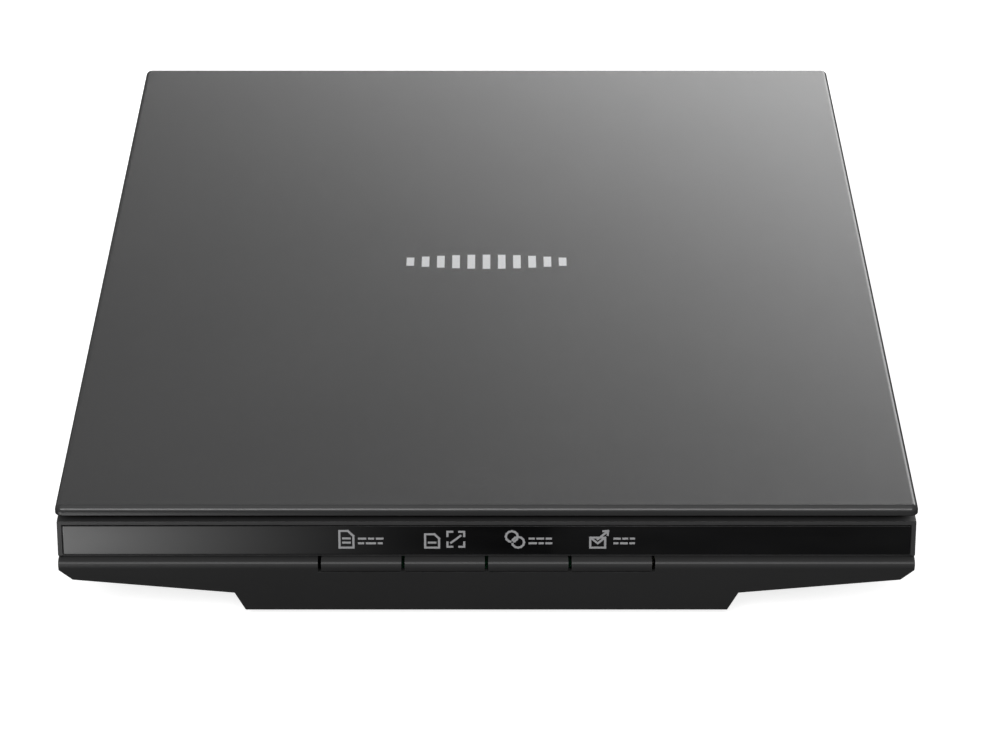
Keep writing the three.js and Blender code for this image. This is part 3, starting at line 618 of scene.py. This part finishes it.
def stacked(low, high, levels, corner, least):
    """A body of rounded rectangles, one for each (inset, height), with corners of a least radius."""
    bm = bmesh.new()
    rings = []
    for inset, z in levels:
        radius = max(corner - inset, least)
        rings.append([(x, y, z) for x, y in rectangle(low, high, inset, radius)])
    bridge(bm, rings)
    return bm


def slab(low, high, edge, corner, steps=3):
    """A plate with rounded edges and corners."""
    levels = []
    for turn in quarter(steps):
        levels.append((edge * (1 - math.sin(turn)), low[2] + edge * (1 - math.cos(turn))))
    levels += [(inset, low[2] + high[2] - z) for inset, z in reversed(levels)]
    return stacked(low, high, levels, corner, 0.05 * MM)


def turned(profile, place, steps=32, axis="Z"):
    """A body turned from (radius, height) points about an axis through a place."""
    bm = bmesh.new()
    right = math.pi / 2
    turns = {"Z": Matrix(), "X": Matrix.Rotation(right, 4, "Y"), "Y": Matrix.Rotation(-right, 4, "X")}
    turn = turns[axis]
    rings = []
    for radius, height in profile:
        ring = []
        for step in range(steps):
            angle = 2 * math.pi * step / steps
            point = Vector((radius * math.cos(angle), radius * math.sin(angle), height))
            ring.append(Vector(place) + turn @ point)
        rings.append(ring)
    bridge(bm, rings)
    return bm


def rod_profile(core, radius, long, bevel):
    """The profile of a rod with bevelled ends, from a core radius out."""
    start = [(core, 0), (radius - bevel, 0), (radius, bevel)]
    return start + [(radius, long - bevel), (radius - bevel, long), (core, long)]


def strokes_mesh(strokes, width, lay):
    """Raised lines from (start, end) pairs in a plane that lay() takes into space, 0 below and 1 on top.

    Neighbours differ a little in height, so that no two tops lie in one plane where they cross.
    """
    bm = bmesh.new()
    for index, (start, end) in enumerate(strokes):
        top = 1.0 - 0.05 * (index % 9)
        a, b = Vector(start), Vector(end)
        along = (b - a).normalized() * width / 2
        side = Vector((-along.y, along.x))
        outline = [a - along - side, b + along - side, b + along + side, a - along + side]
        rings = [[lay(point, level) for point in outline] for level in (0.0, top)]
        bridge(bm, rings)
    return bm


def tube(points, radius, sides=12):
    """A round wire along a row of points, with closed ends."""
    bm = bmesh.new()
    rings = []
    for index, point in enumerate(points):
        before, after = points[max(index - 1, 0)], points[min(index + 1, len(points) - 1)]
        along = (after - before).normalized()
        side = along.cross(Vector((0, 0, 1)))
        side = side.normalized() if side.length > 0.01 else Vector((1, 0, 0))
        up = side.cross(along)
        turns = [2 * math.pi * step / sides for step in range(sides)]
        rings.append([point + radius * (side * math.cos(turn) + up * math.sin(turn)) for turn in turns])
    bridge(bm, rings)
    return bm


def add_slab(bm, low, high, edge):
    """Adds a small plate with rounded edges to a mesh in the making."""
    part = slab(low, high, edge, edge * 2, steps=2)
    mesh = bpy.data.meshes.new("part")
    part.to_mesh(mesh)
    part.free()
    bm.from_mesh(mesh)
    bpy.data.meshes.remove(mesh)


def longer_than(least):
    """Picks the edges longer than a length."""
    return lambda edge: edge.calc_length() > least


def middle(node):
    """The middle of a node's box."""
    low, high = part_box(node)
    return (Vector(low) + Vector(high)) / 2


# ------------------------------------------------------------------ lid


class SCANNER_OT_lid(Operator):
    """Build the lid's outer shell"""

    bl_idname = "scanner.lid"
    bl_label = "Lid"

    def execute(self, context):
        low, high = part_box("lid_cover")
        top = high[2] - sizes().print_height
        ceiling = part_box("lid_liner")[1][2] + 0.2 * MM
        rim, fillet, steps = 2 * MM, 0.25 * MM, 2 * sizes().round_steps
        levels = [(rim, ceiling), (rim, low[2] + fillet), (rim - fillet, low[2])]
        levels += [(fillet, low[2]), (0, low[2] + fillet)]
        for turn in quarter(steps):
            rise = sizes().lid_round * (1 - math.sin(turn))
            levels.append((sizes().lid_round * (1 - math.cos(turn)), top - rise))
        bm = stacked(low, high, levels, sizes().lid_corner, 0.3 * MM)
        place_piece("lid_shell", bm, "lid", "lid", ["lid_cover"], 50)
        return {"FINISHED"}


class SCANNER_OT_lid_mark(Operator):
    """Print the plain silver mark on the lid: a row of dashes that swells in the middle"""

    bl_idname = "scanner.lid_mark"
    bl_label = "Lid Mark"

    def execute(self, context):
        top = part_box("lid_cover")[1][2] - sizes().print_height
        dashes = 11
        pitch = sizes().emblem_width / (dashes - 1)
        strokes = []
        for index in range(dashes):
            x = (index - (dashes - 1) / 2) * pitch
            swell = math.cos(x / sizes().emblem_width * math.pi * 0.85)
            half = sizes().emblem_depth / 2 * (0.3 + 0.7 * swell)
            strokes.append(((x, -half), (x, half)))

        def on_lid(point, level):
            return (point[0], point[1], top + level * sizes().print_height)

        bm = strokes_mesh(strokes, 0.5 * pitch, on_lid)
        place_piece("lid_mark", bm, "silver", "lid")
        return {"FINISHED"}


class SCANNER_OT_lid_inside(Operator):
    """Build the lid's inner frame, the foam and the white mat"""

    bl_idname = "scanner.lid_inside"
    bl_label = "Lid Inside"

    def execute(self, context):
        softened("lid_liner", "inner", wanted=longer_than(8 * MM))
        for side in SIDES:
            softened(f"lid_hinge_{side}", "inner", 0.3 * MM, longer_than(2.5 * MM))
        for node, key, edge in (("document_mat", "sheet", 0.12 * MM), ("lid_foam", "foam", 0.5 * MM)):
            low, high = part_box(node)
            piece = stand_in(node, "skin", slab(low, high, edge, 2 * MM), key)
        return {"FINISHED"}


# ------------------------------------------------------------------ case


def front_lip_edge(edge):
    """The long edge along the front of the button lip."""
    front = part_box("base_case")[0][1]
    along_x = abs(edge.verts[0].co.x - edge.verts[1].co.x) > 5 * MM
    return along_x and all(abs(vert.co.y - front) < 0.3 * MM for vert in edge.verts)


class SCANNER_OT_case_lower(Operator):
    """Build the lower shell of the case, with its rounded lip"""

    bl_idname = "scanner.case_lower"
    bl_label = "Lower Case"

    def execute(self, context):
        bm = node_mesh("base_case")
        if not round_edges(bm, sizes().lip_round, front_lip_edge, steps=5):
            raise RuntimeError("the lower case has no lip edge to round")
        round_edges(bm, sizes().edge_round, longer_than(12 * MM))
        place_piece("case_lower", bm, "case", "base", ["base_case"])
        return {"FINISHED"}


class SCANNER_OT_case_upper(Operator):
    """Build the upper shell of the case, and the gloss strip in its front"""

    bl_idname = "scanner.case_upper"
    bl_label = "Upper Case"

    def execute(self, context):
        piece = softened("top_frame", "case", wanted=longer_than(12 * MM))
        # painted shade: the front rim over the strip takes the darker rim finish, partly painted shade under
        # the lid's edge
        piece.data.materials.append(material("rim"))
        wall, strip_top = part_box("front_strip")[1][1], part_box("front_strip")[1][2]
        for face in piece.data.polygons:
            if face.center.y < wall + 0.3 * MM and face.center.z > strip_top:
                face.material_index = 1
        softened("front_strip", "gloss", 0.25 * MM)
        return {"FINISHED"}


class SCANNER_OT_platen(Operator):
    """Build the glass, the calibration strip and the printed corner mark and ruler beside it"""

    bl_idname = "scanner.platen"
    bl_label = "Platen"

    def execute(self, context):
        low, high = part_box("platen_glass")
        stand_in("platen_glass", "pane", slab(low, high, 0.3 * MM, 1.5 * MM), "glass")
        paint(frame["nodes"]["calibration_strip"], "sheet")
        mat_low, mat_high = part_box("document_mat")
        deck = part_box("top_frame")[1][2]
        edge_x = mat_high[0] + 1.6 * MM
        strokes = []
        for step in range(60):
            y = mat_low[1] + step * 5 * MM
            reach = (2.4 if step % 2 == 0 else 1.4) * MM
            if y < mat_high[1]:
                strokes.append(((edge_x, y), (edge_x + reach, y)))
        tip = Vector((mat_high[0] + 2.5 * MM, mat_low[1] - 4 * MM))
        strokes.append((tip, tip + Vector((-3 * MM, 0))))
        strokes.append((tip, tip + Vector((0, 3 * MM))))
        strokes.append((tip, tip + Vector((-3 * MM, 3 * MM))))

        def on_deck(point, level):
            return (point[0], point[1], deck + level * sizes().print_height)

        bm = strokes_mesh(strokes, 0.25 * MM, on_deck)
        place_piece("platen_marks", bm, "symbol", "base")
        return {"FINISHED"}


class SCANNER_OT_feet(Operator):
    """Build the rubber feet with their grip rings"""

    bl_idname = "scanner.feet"
    bl_label = "Feet"

    def execute(self, context):
        for place in PLACES:
            node = f"foot_{place}"
            low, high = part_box(node)
            radius, top = (high[0] - low[0]) / 2, high[2] - low[2]
            groove = 0.35 * MM
            profile = [(0.8 * MM, groove), (1.2 * MM, groove)]
            for ring in (0.30, 0.52, 0.74):
                inner = ring * radius
                for part, depth in ((0.0, 0.0), (0.9, 0.0), (1.1, 1.0), (1.5, 1.0)):
                    profile.append((inner + part * MM, depth * groove))
            profile += [(radius - 0.7 * MM, 0.0), (radius - 0.2 * MM, 0.2 * MM)]
            profile += [(radius, 0.7 * MM), (radius, top)]
            bm = turned(profile, (middle(node).x, middle(node).y, low[2]), 48)
            stand_in(node, "pad", bm, "rubber")
        return {"FINISHED"}


class SCANNER_OT_screws(Operator):
    """Build the case screws with their cross recesses"""

    bl_idname = "scanner.screws"
    bl_label = "Screws"

    def execute(self, context):
        for place in PLACES:
            node = f"case_screw_{place}"
            low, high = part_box(node)
            centre = (middle(node).x, middle(node).y, low[2])
            head, shank, tall = (high[0] - low[0]) / 2, 1.4 * MM, high[2] - low[2]
            profile = [(1.1 * MM, 0.9 * MM), (1.3 * MM, 0.1 * MM), (1.5 * MM, 0.0)]
            profile += [(head - 0.6 * MM, 0.1 * MM), (head, 0.7 * MM), (head, 2 * MM), (shank, 2 * MM)]
            for turn in range(9):
                z = (3 + turn) * MM
                profile += [(shank, z), (shank - 0.35 * MM, z + 0.5 * MM)]
            profile += [(shank, tall - 1 * MM), (0.2 * MM, tall)]
            stand_in(node, "body", turned(profile, centre, 24), "steel")
        return {"FINISHED"}


# ------------------------------------------------------------------ buttons and symbols


class SCANNER_OT_buttons(Operator):
    """Build the four buttons in the lip, and the switches and board behind them"""

    bl_idname = "scanner.buttons"
    bl_label = "Buttons"

    def execute(self, context):
        for number in BUTTONS:
            node = f"button_{number}"
            bm = node_mesh(node)
            round_edges(bm, sizes().lip_round, front_lip_edge, steps=5)
            round_edges(bm, 0.25 * MM, longer_than(2 * MM))
            stand_in(node, "cap", bm, "case")
            softened(f"button_switch_{number}", "chip", 0.25 * MM, longer_than(2 * MM))
        paint(frame["nodes"]["button_board"], "board")
        return {"FINISHED"}


def chain(points):
    """The strokes that join a row of points."""
    return list(zip(points, points[1:]))


def closed(points):
    """The strokes that join a row of points and return to the first."""
    return chain(points + points[:1])


def page(wide, tall, fold):
    """The outline of a page with a folded corner."""
    return closed([(0, 0), (0, tall), (wide - fold, tall), (wide, tall - fold), (wide, 0)])


def polygon(x, y, radius, count):
    """A closed outline of straight strokes round a middle."""
    turns = [2 * math.pi * step / count for step in range(count)]
    return closed([(x + radius * math.cos(turn), y + radius * math.sin(turn)) for turn in turns])


def label_bars(x, upper, lower):
    """Two rows of short dashes that stand where a caption would be."""
    strokes = []
    for y, lengths in ((5.4, upper), (2.6, lower)):
        place = x
        for long in lengths:
            strokes.append(((place, y), (place + long, y)))
            place += long + 2.0
    return strokes


def symbol_strokes():
    """The four symbols, each in a square 10 units high, with dashes to the right."""
    lines = [((2, 3), (5.5, 3)), ((2, 5.5), (5.5, 5.5))]
    document = page(7.5, 10, 3) + lines + label_bars(10.5, (3.4, 2.2, 3.0), (2.2, 4.4, 1.6))
    corners = []
    for sx, sy in ((0, 0), (1, 0), (0, 1), (1, 1)):
        x, y = 12 + 9 * sx, 0.5 + 9 * sy
        corners += [((x, y), (x + 2.6 * (1 - 2 * sx), y)), ((x, y), (x, y + 2.6 * (1 - 2 * sy)))]
    automatic = page(7.5, 8, 2.5) + lines[:1] + corners + [((14, 3), (19, 7))]
    rings = polygon(3.4, 6.6, 3.2, 12) + polygon(6.8, 3.2, 3.2, 12)
    copies = rings + label_bars(13, (2.2, 3.0, 2.2), (3.4, 1.6, 2.6))
    letter = closed([(0, 0), (0, 6), (8, 6), (8, 0)]) + chain([(0, 6), (4, 2.6), (8, 6)])
    arrow = [((4, 5), (9.5, 10)), ((9.5, 10), (7, 9.8)), ((9.5, 10), (9.3, 7.6))]
    send = letter + arrow + label_bars(13, (2.8, 2.0, 1.6), (1.6, 3.0, 1.8))
    return document, automatic, copies, send


class SCANNER_OT_symbols(Operator):
    """Print a plain symbol over each button, with dashes in place of words"""

    bl_idname = "scanner.symbols"
    bl_label = "Symbols"

    def execute(self, context):
        low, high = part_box("front_strip")
        unit = sizes().symbol_size / 10
        base = (low[2] + high[2]) / 2 - 4.4 * unit
        for number, strokes in zip(BUTTONS, symbol_strokes()):
            wide = max(point[0] for stroke in strokes for point in stroke)
            start = middle(f"button_{number}").x - wide * unit / 2

            def on_strip(point, level):
                return (point[0], low[1] - level * sizes().print_height, point[1])

            placed = []
            for pair in strokes:
                placed.append([(start + x * unit, base + z * unit) for x, z in pair])
            bm = strokes_mesh(placed, sizes().symbol_line, on_strip)
            place_piece(f"symbol_{number}", bm, "symbol", "base")
        return {"FINISHED"}


# ------------------------------------------------------------------ hinges


class SCANNER_OT_hinges(Operator):
    """Build the lift-out hinge legs and their pins"""

    bl_idname = "scanner.hinges"
    bl_label = "Hinges"

    def execute(self, context):
        for side in SIDES:
            softened(f"hinge_leg_{side}", "inner", 0.3 * MM, longer_than(2.5 * MM))
            node = f"hinge_pin_{side}"
            low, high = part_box(node)
            profile = rod_profile(0.2 * MM, (high[2] - low[2]) / 2, high[0] - low[0], 0.4 * MM)
            bm = turned(profile, (low[0], middle(node).y, middle(node).z), 28, "X")
            stand_in(node, "rod", bm, "steel")
        return {"FINISHED"}


# ------------------------------------------------------------------ drive and sensor


class SCANNER_OT_drive(Operator):
    """Finish the guide rod, the rack, the gears and the motor"""

    bl_idname = "scanner.drive"
    bl_label = "Drive"

    def execute(self, context):
        softened("carriage_frame", "inner", 0.3 * MM, longer_than(9 * MM))
        for node, key in (("drive_rack", "acetal"), ("compound_gear", "acetal"), ("carriage_bush", "brass"),
                          ("motor_pinion", "brass"), ("gear_axle", "steel")):
            paint(frame["nodes"][node], key)
        low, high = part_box("guide_rod")
        profile = rod_profile(0.3 * MM, (high[0] - low[0]) / 2, high[1] - low[1], 0.6 * MM)
        rod = turned(profile, (middle("guide_rod").x, low[1], middle("guide_rod").z), 40, "Y")
        stand_in("guide_rod", "bar", rod, "steel")
        low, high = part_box("drive_motor")
        radius, tall = (high[0] - low[0]) / 2, high[2] - low[2]
        profile = [(1 * MM, 0), (radius - 0.5 * MM, 0), (radius, 0.4 * MM), (radius, 1.2 * MM)]
        profile += [(radius - 0.6 * MM, 1.3 * MM), (radius - 0.6 * MM, tall - 2.2 * MM)]
        profile += [(radius - 1.6 * MM, tall - 1.2 * MM)]
        profile += [(3.2 * MM, tall - 1.2 * MM), (2.8 * MM, tall), (0.5 * MM, tall)]
        motor = turned(profile, (middle("drive_motor").x, middle("drive_motor").y, low[2]), 48)
        stand_in("drive_motor", "can", motor, "steel")
        return {"FINISHED"}


class SCANNER_OT_sensor(Operator):
    """Finish the sensor: housing, window, lens row, light guide, pads and board"""

    bl_idname = "scanner.sensor"
    bl_label = "Sensor"

    def execute(self, context):
        softened("sensor_housing", "chip", 0.25 * MM, longer_than(6 * MM))
        low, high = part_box("sensor_window")
        stand_in("sensor_window", "pane", slab(low, high, 0.12 * MM, 0.4 * MM), "glass")
        for node, key in (("lens_array", "inner"), ("light_guide", "white"), ("sensor_led", "white"),
                          ("sensor_board", "board")):
            paint(frame["nodes"][node], key)
        for side in SIDES:
            softened(f"glide_pad_{side}", "acetal", 0.15 * MM)
        return {"FINISHED"}


class SCANNER_OT_springs(Operator):
    """Wind the two springs that hold the sensor up"""

    bl_idname = "scanner.springs"
    bl_label = "Springs"

    turns = 4

    def execute(self, context):
        wire = 0.33 * MM
        for side in SIDES:
            node = f"sensor_spring_{side}"
            low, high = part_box(node)
            radius = (high[0] - low[0]) / 2 - wire
            points = []
            for step in range(self.turns * 24 + 1):
                share = step / (self.turns * 24)
                turn = 2 * math.pi * self.turns * share
                height = low[2] + wire + (high[2] - low[2] - 2 * wire) * share
                offset = Vector((radius * math.cos(turn), radius * math.sin(turn), 0))
                points.append(Vector((middle(node).x, middle(node).y, height)) + offset)
            piece = new_piece(f"{node}_coil", tube(points, wire, 8), "steel")
            bend_piece(piece, node, ("carriage", "sensor"), (0, 0, low[2]), (0, 0, high[2]))
        return {"FINISHED"}


# ------------------------------------------------------------------ electronics


class SCANNER_OT_electronics(Operator):
    """Finish the main board, its parts, the socket and the chips"""

    bl_idname = "scanner.electronics"
    bl_label = "Electronics"

    def execute(self, context):
        paint(frame["nodes"]["main_board"], "board")
        softened("controller_chip", "chip", 0.15 * MM)
        softened("driver_chip", "chip", 0.15 * MM)
        softened("ribbon_connector", "white", 0.15 * MM)
        softened("usb_port", "steel", 0.2 * MM, longer_than(3 * MM))
        low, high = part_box("main_board")
        top = high[2]
        parts = bmesh.new()
        for row in range(3):
            for step in range(9):
                x = low[0] + (4 + 7 * row) * MM
                y = low[1] + (12 + 4.6 * step) * MM
                wide, long = ((1.6, 0.8), (0.8, 1.6), (2.0, 1.2))[(row + step) % 3]
                far = (x + wide * MM, y + long * MM, top + 0.7 * MM)
                add_slab(parts, (x, y, top + 0.02 * MM), far, 0.1 * MM)
        place_piece("board_parts", parts, "chip", "base")
        for index, (x, y) in enumerate(((5, 98), (5, 108), (21, 98))):
            centre = (low[0] + x * MM, low[1] + y * MM, top + 0.02 * MM)
            profile = [(0.3 * MM, 0), (2.6 * MM, 0), (2.6 * MM, 5.4 * MM)]
            profile += [(2.3 * MM, 5.8 * MM), (0.3 * MM, 5.8 * MM)]
            can = turned(profile, centre, 28)
            place_piece(f"capacitor_{index + 1}", can, "steel", "base")
        self.add_legs("controller_chip", top)
        return {"FINISHED"}

    def add_legs(self, node, top):
        """The legs round a chip."""
        low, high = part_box(node)
        wide = 0.35 * MM
        bm = bmesh.new()
        for step in range(16):
            along = (1 + step * 0.78) * MM
            for sign, edge in ((-1, low), (1, high)):
                x = sorted((edge[0], edge[0] + sign * 0.9 * MM))
                y = sorted((edge[1], edge[1] + sign * 0.9 * MM))
                beside, ahead = low[1] + along, low[0] + along
                legs = [((x[0], beside), (x[1], beside + wide)), ((ahead, y[0]), (ahead + wide, y[1]))]
                for heel, tip in legs:
                    add_slab(bm, (*heel, top + 0.02 * MM), (*tip, top + 0.4 * MM), 0.05 * MM)
        place_piece("chip_legs", bm, "steel", "base")


class SCANNER_OT_ribbon(Operator):
    """Lay the flat cable from the board to the carriage"""

    bl_idname = "scanner.ribbon"
    bl_label = "Ribbon"

    def execute(self, context):
        low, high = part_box("ribbon_cable")
        thick = 0.15 * MM
        floor = low[2] + thick
        board_end, board_height = high[1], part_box("main_board")[1][2] + 0.8 * MM
        route = [(board_end, board_height), (board_end - 4 * MM, board_height)]
        for step in range(7):
            share = step / 6
            ease = share * share * (3 - 2 * share)
            route.append((board_end - (4 + 7 * share) * MM, board_height + (floor - board_height) * ease))
        flat_end = low[1] + 12 * MM
        for step in range(1, 25):
            share = step / 24
            route.append((board_end - 11 * MM + (flat_end - board_end + 11 * MM) * share, floor))
        for turn in quarter(8)[1:]:
            reach = flat_end - (low[1] + 0.5 * MM)
            height = high[2] - floor
            route.append((flat_end - reach * math.sin(turn), floor + height * (1 - math.cos(turn))))
        bm = bmesh.new()
        rings = []
        for index, (y, z) in enumerate(route):
            before, after = route[max(index - 1, 0)], route[min(index + 1, len(route) - 1)]
            along = Vector((after[0] - before[0], after[1] - before[1])).normalized()
            up = Vector((-along.y, along.x)) * thick
            ring = [(low[0], y - up.x, z - up.y), (high[0], y - up.x, z - up.y)]
            ring += [(high[0], y + up.x, z + up.y), (low[0], y + up.x, z + up.y)]
            rings.append(ring)
        bridge(bm, rings)
        piece = new_piece("ribbon_strip", bm, "ribbon", 50)
        ends = (0, board_end - 11 * MM, 0), (0, flat_end, 0)
        bend_piece(piece, "ribbon_cable", ("base", "carriage"), *ends)
        return {"FINISHED"}


# ------------------------------------------------------------------ stage


def soft_light(name, place, target, size, power, roll=0.0):
    """An area light that faces a target, turned about its own middle, and isn't seen itself."""
    data = bpy.data.lights.new(name, "AREA")
    data.shape = "RECTANGLE"
    data.size, data.size_y = size
    data.energy = power
    obj = add_object(name, data)
    obj.location = place
    facing = (Vector(target) - Vector(place)).to_track_quat("-Z", "Y").to_matrix()
    obj.rotation_euler = (facing @ Matrix.Rotation(math.radians(roll), 3, "Z")).to_euler()
    obj.visible_camera = False
    return obj


def floor_material():
    """A pale floor: near white to the eye, and quieter as a source of light on the scanner."""
    material, tree, shader = new_material("floor")
    tint = colours().floor
    cloud = spread(tree, noise_value(tree, 3.0, 2.0), 0.3, 0.7, 0.99, 1.0)
    pale = add_node(tree, "ShaderNodeVectorMath", {0: (*tint,), "Scale": cloud}, operation="SCALE")
    fill(tree, shader.inputs, {"Base Color": pale.outputs[0], "Roughness": 0.9})
    glow = add_node(tree, "ShaderNodeEmission", {"Color": (1, 1, 1, 1), "Strength": 0.8})
    matt = add_node(tree, "ShaderNodeBsdfDiffuse", {"Color": (0.2, 0.2, 0.2, 1)})
    dark = add_node(tree, "ShaderNodeBsdfDiffuse", {"Color": (0.07, 0.07, 0.07, 1)})
    seen = add_node(tree, "ShaderNodeAddShader", {0: shader.outputs[0], 1: glow.outputs[0]})
    ray = add_node(tree, "ShaderNodeLightPath").outputs
    values = {0: ray["Is Glossy Ray"], 1: matt.outputs[0], 2: dark.outputs[0]}
    quiet = add_node(tree, "ShaderNodeMixShader", values)
    values = {0: ray["Is Camera Ray"], 1: quiet.outputs[0], 2: seen.outputs[0]}
    both = add_node(tree, "ShaderNodeMixShader", values)
    tree.links.new(both.outputs[0], tree.nodes["Material Output"].inputs["Surface"])
    return material


def reflection_card(name, corners, strength_left, strength_right):
    """A card that only shows in gloss, brighter on its left."""
    mesh = bpy.data.meshes.new(name)
    mesh.from_pydata(corners, [], [(0, 1, 2, 3)])
    uv = mesh.uv_layers.new(name="UVMap")
    for loop, place in zip(uv.data, ((0, 0), (1, 0), (1, 1), (0, 1))):
        loop.uv = place
    material, tree, shader = new_material(name)
    across = add_node(tree, "ShaderNodeTexCoord").outputs["UV"]
    share = add_node(tree, "ShaderNodeSeparateXYZ", {0: across}).outputs["X"]
    falling = maths(tree, "POWER", maths(tree, "SUBTRACT", 1.0, share), 2.8)
    power = spread(tree, falling, 0.0, 1.0, strength_right, strength_left)
    light = add_node(tree, "ShaderNodeEmission", {"Strength": power})
    tree.links.new(light.outputs[0], tree.nodes["Material Output"].inputs["Surface"])
    obj = add_object(name, mesh)
    obj.data.materials.append(material)
    for kind in ("camera", "diffuse", "shadow", "transmission"):
        setattr(obj, f"visible_{kind}", False)
    return obj


class SCANNER_OT_stage(Operator):
    """Set the floor, the soft studio light and the camera"""

    bl_idname = "scanner.stage"
    bl_label = "Stage"

    camera_height = 0.5797
    camera_distance = 1.2888
    camera_pitch = 24.04
    focal_length = 153.0

    def execute(self, context):
        scene = context.scene
        mesh = bpy.data.meshes.new("floor")
        half = 6.0
        corners = [(-half, -half, 0), (half, -half, 0), (half, half, 0), (-half, half, 0)]
        mesh.from_pydata(corners, [], [(0, 1, 2, 3)])
        floor = add_object("floor", mesh)
        floor.data.materials.append(floor_material())

        world = bpy.data.worlds.new("studio")
        scene.world = world
        world.use_nodes = True
        background = world.node_tree.nodes["Background"]
        fill(world.node_tree, background.inputs, {"Color": (1, 1, 1, 1), "Strength": 0.26})
        soft_light("key_back_right", (0.38, 1.5, 0.40), (0.02, 0.1, 0.04), (1.6, 0.5), 7.9, -26)
        soft_light("top_fill", (-0.1, -0.2, 1.9), (0, 0, 0), (1.6, 1.6), 4)
        soft_light("front_fill", (-0.2, -1.75, 1.15), (0, 0, 0.02), (1.6, 0.6), 25)
        front = CAD_BOUNDS[0].y
        near, far = front - 0.044, front - 0.077
        corners = [(-0.20, far, 0.001), (0.02, far, 0.001), (0.02, near, 0.001), (-0.20, near, 0.001)]
        reflection_card("strip_glow", corners, 7.8, 0.0)

        data = bpy.data.cameras.new("camera")
        data.lens = self.focal_length
        data.sensor_width = 36.0
        data.shift_x = 0.0135
        data.shift_y = -0.0015
        data.clip_start = 0.05
        data.clip_end = 50.0
        camera = add_object("camera", data)
        camera.location = (0, -self.camera_distance, self.camera_height)
        camera.rotation_euler = (math.radians(90 - self.camera_pitch), 0, 0)
        scene.camera = camera
        scene.view_settings.view_transform = "Standard"
        return {"FINISHED"}


# ------------------------------------------------------------------ panel and registration

OPERATORS = (
    SCANNER_OT_stage,
    SCANNER_OT_lid,
    SCANNER_OT_lid_mark,
    SCANNER_OT_lid_inside,
    SCANNER_OT_case_lower,
    SCANNER_OT_case_upper,
    SCANNER_OT_platen,
    SCANNER_OT_feet,
    SCANNER_OT_screws,
    SCANNER_OT_buttons,
    SCANNER_OT_symbols,
    SCANNER_OT_hinges,
    SCANNER_OT_drive,
    SCANNER_OT_sensor,
    SCANNER_OT_springs,
    SCANNER_OT_electronics,
    SCANNER_OT_ribbon,
)


class SCANNER_PT_sidebar(Panel):
    """Lists the steps that build the scanner, and its sizes and colours"""

    bl_idname = "SCANNER_PT_sidebar"
    bl_label = "Flatbed Scanner"
    bl_space_type = "VIEW_3D"
    bl_region_type = "UI"
    bl_category = "Scanner"

    def draw(self, context):
        for operator in OPERATORS:
            self.layout.operator(operator.bl_idname)
        for group in (context.scene.scanner_sizes, context.scene.scanner_colours):
            column = self.layout.column(align=True)
            for key in group.__annotations__:
                column.prop(group, key)


CLASSES = (ScannerSizes, ScannerColours, *OPERATORS, SCANNER_PT_sidebar)


def register():
    """Registers the classes and their settings."""
    for cls in CLASSES:
        bpy.utils.register_class(cls)
    bpy.types.Scene.scanner_sizes = PointerProperty(type=ScannerSizes)
    bpy.types.Scene.scanner_colours = PointerProperty(type=ScannerColours)


def unregister():
    """Takes the classes and their settings away again."""
    del bpy.types.Scene.scanner_colours
    del bpy.types.Scene.scanner_sizes
    for cls in reversed(CLASSES):
        bpy.utils.unregister_class(cls)


def main():
    """Builds the whole scanner."""
    register()
    for operator in OPERATORS:
        group, name = operator.bl_idname.split(".")
        getattr(getattr(bpy.ops, group), name)()


if __name__ == "__main__":
    main()
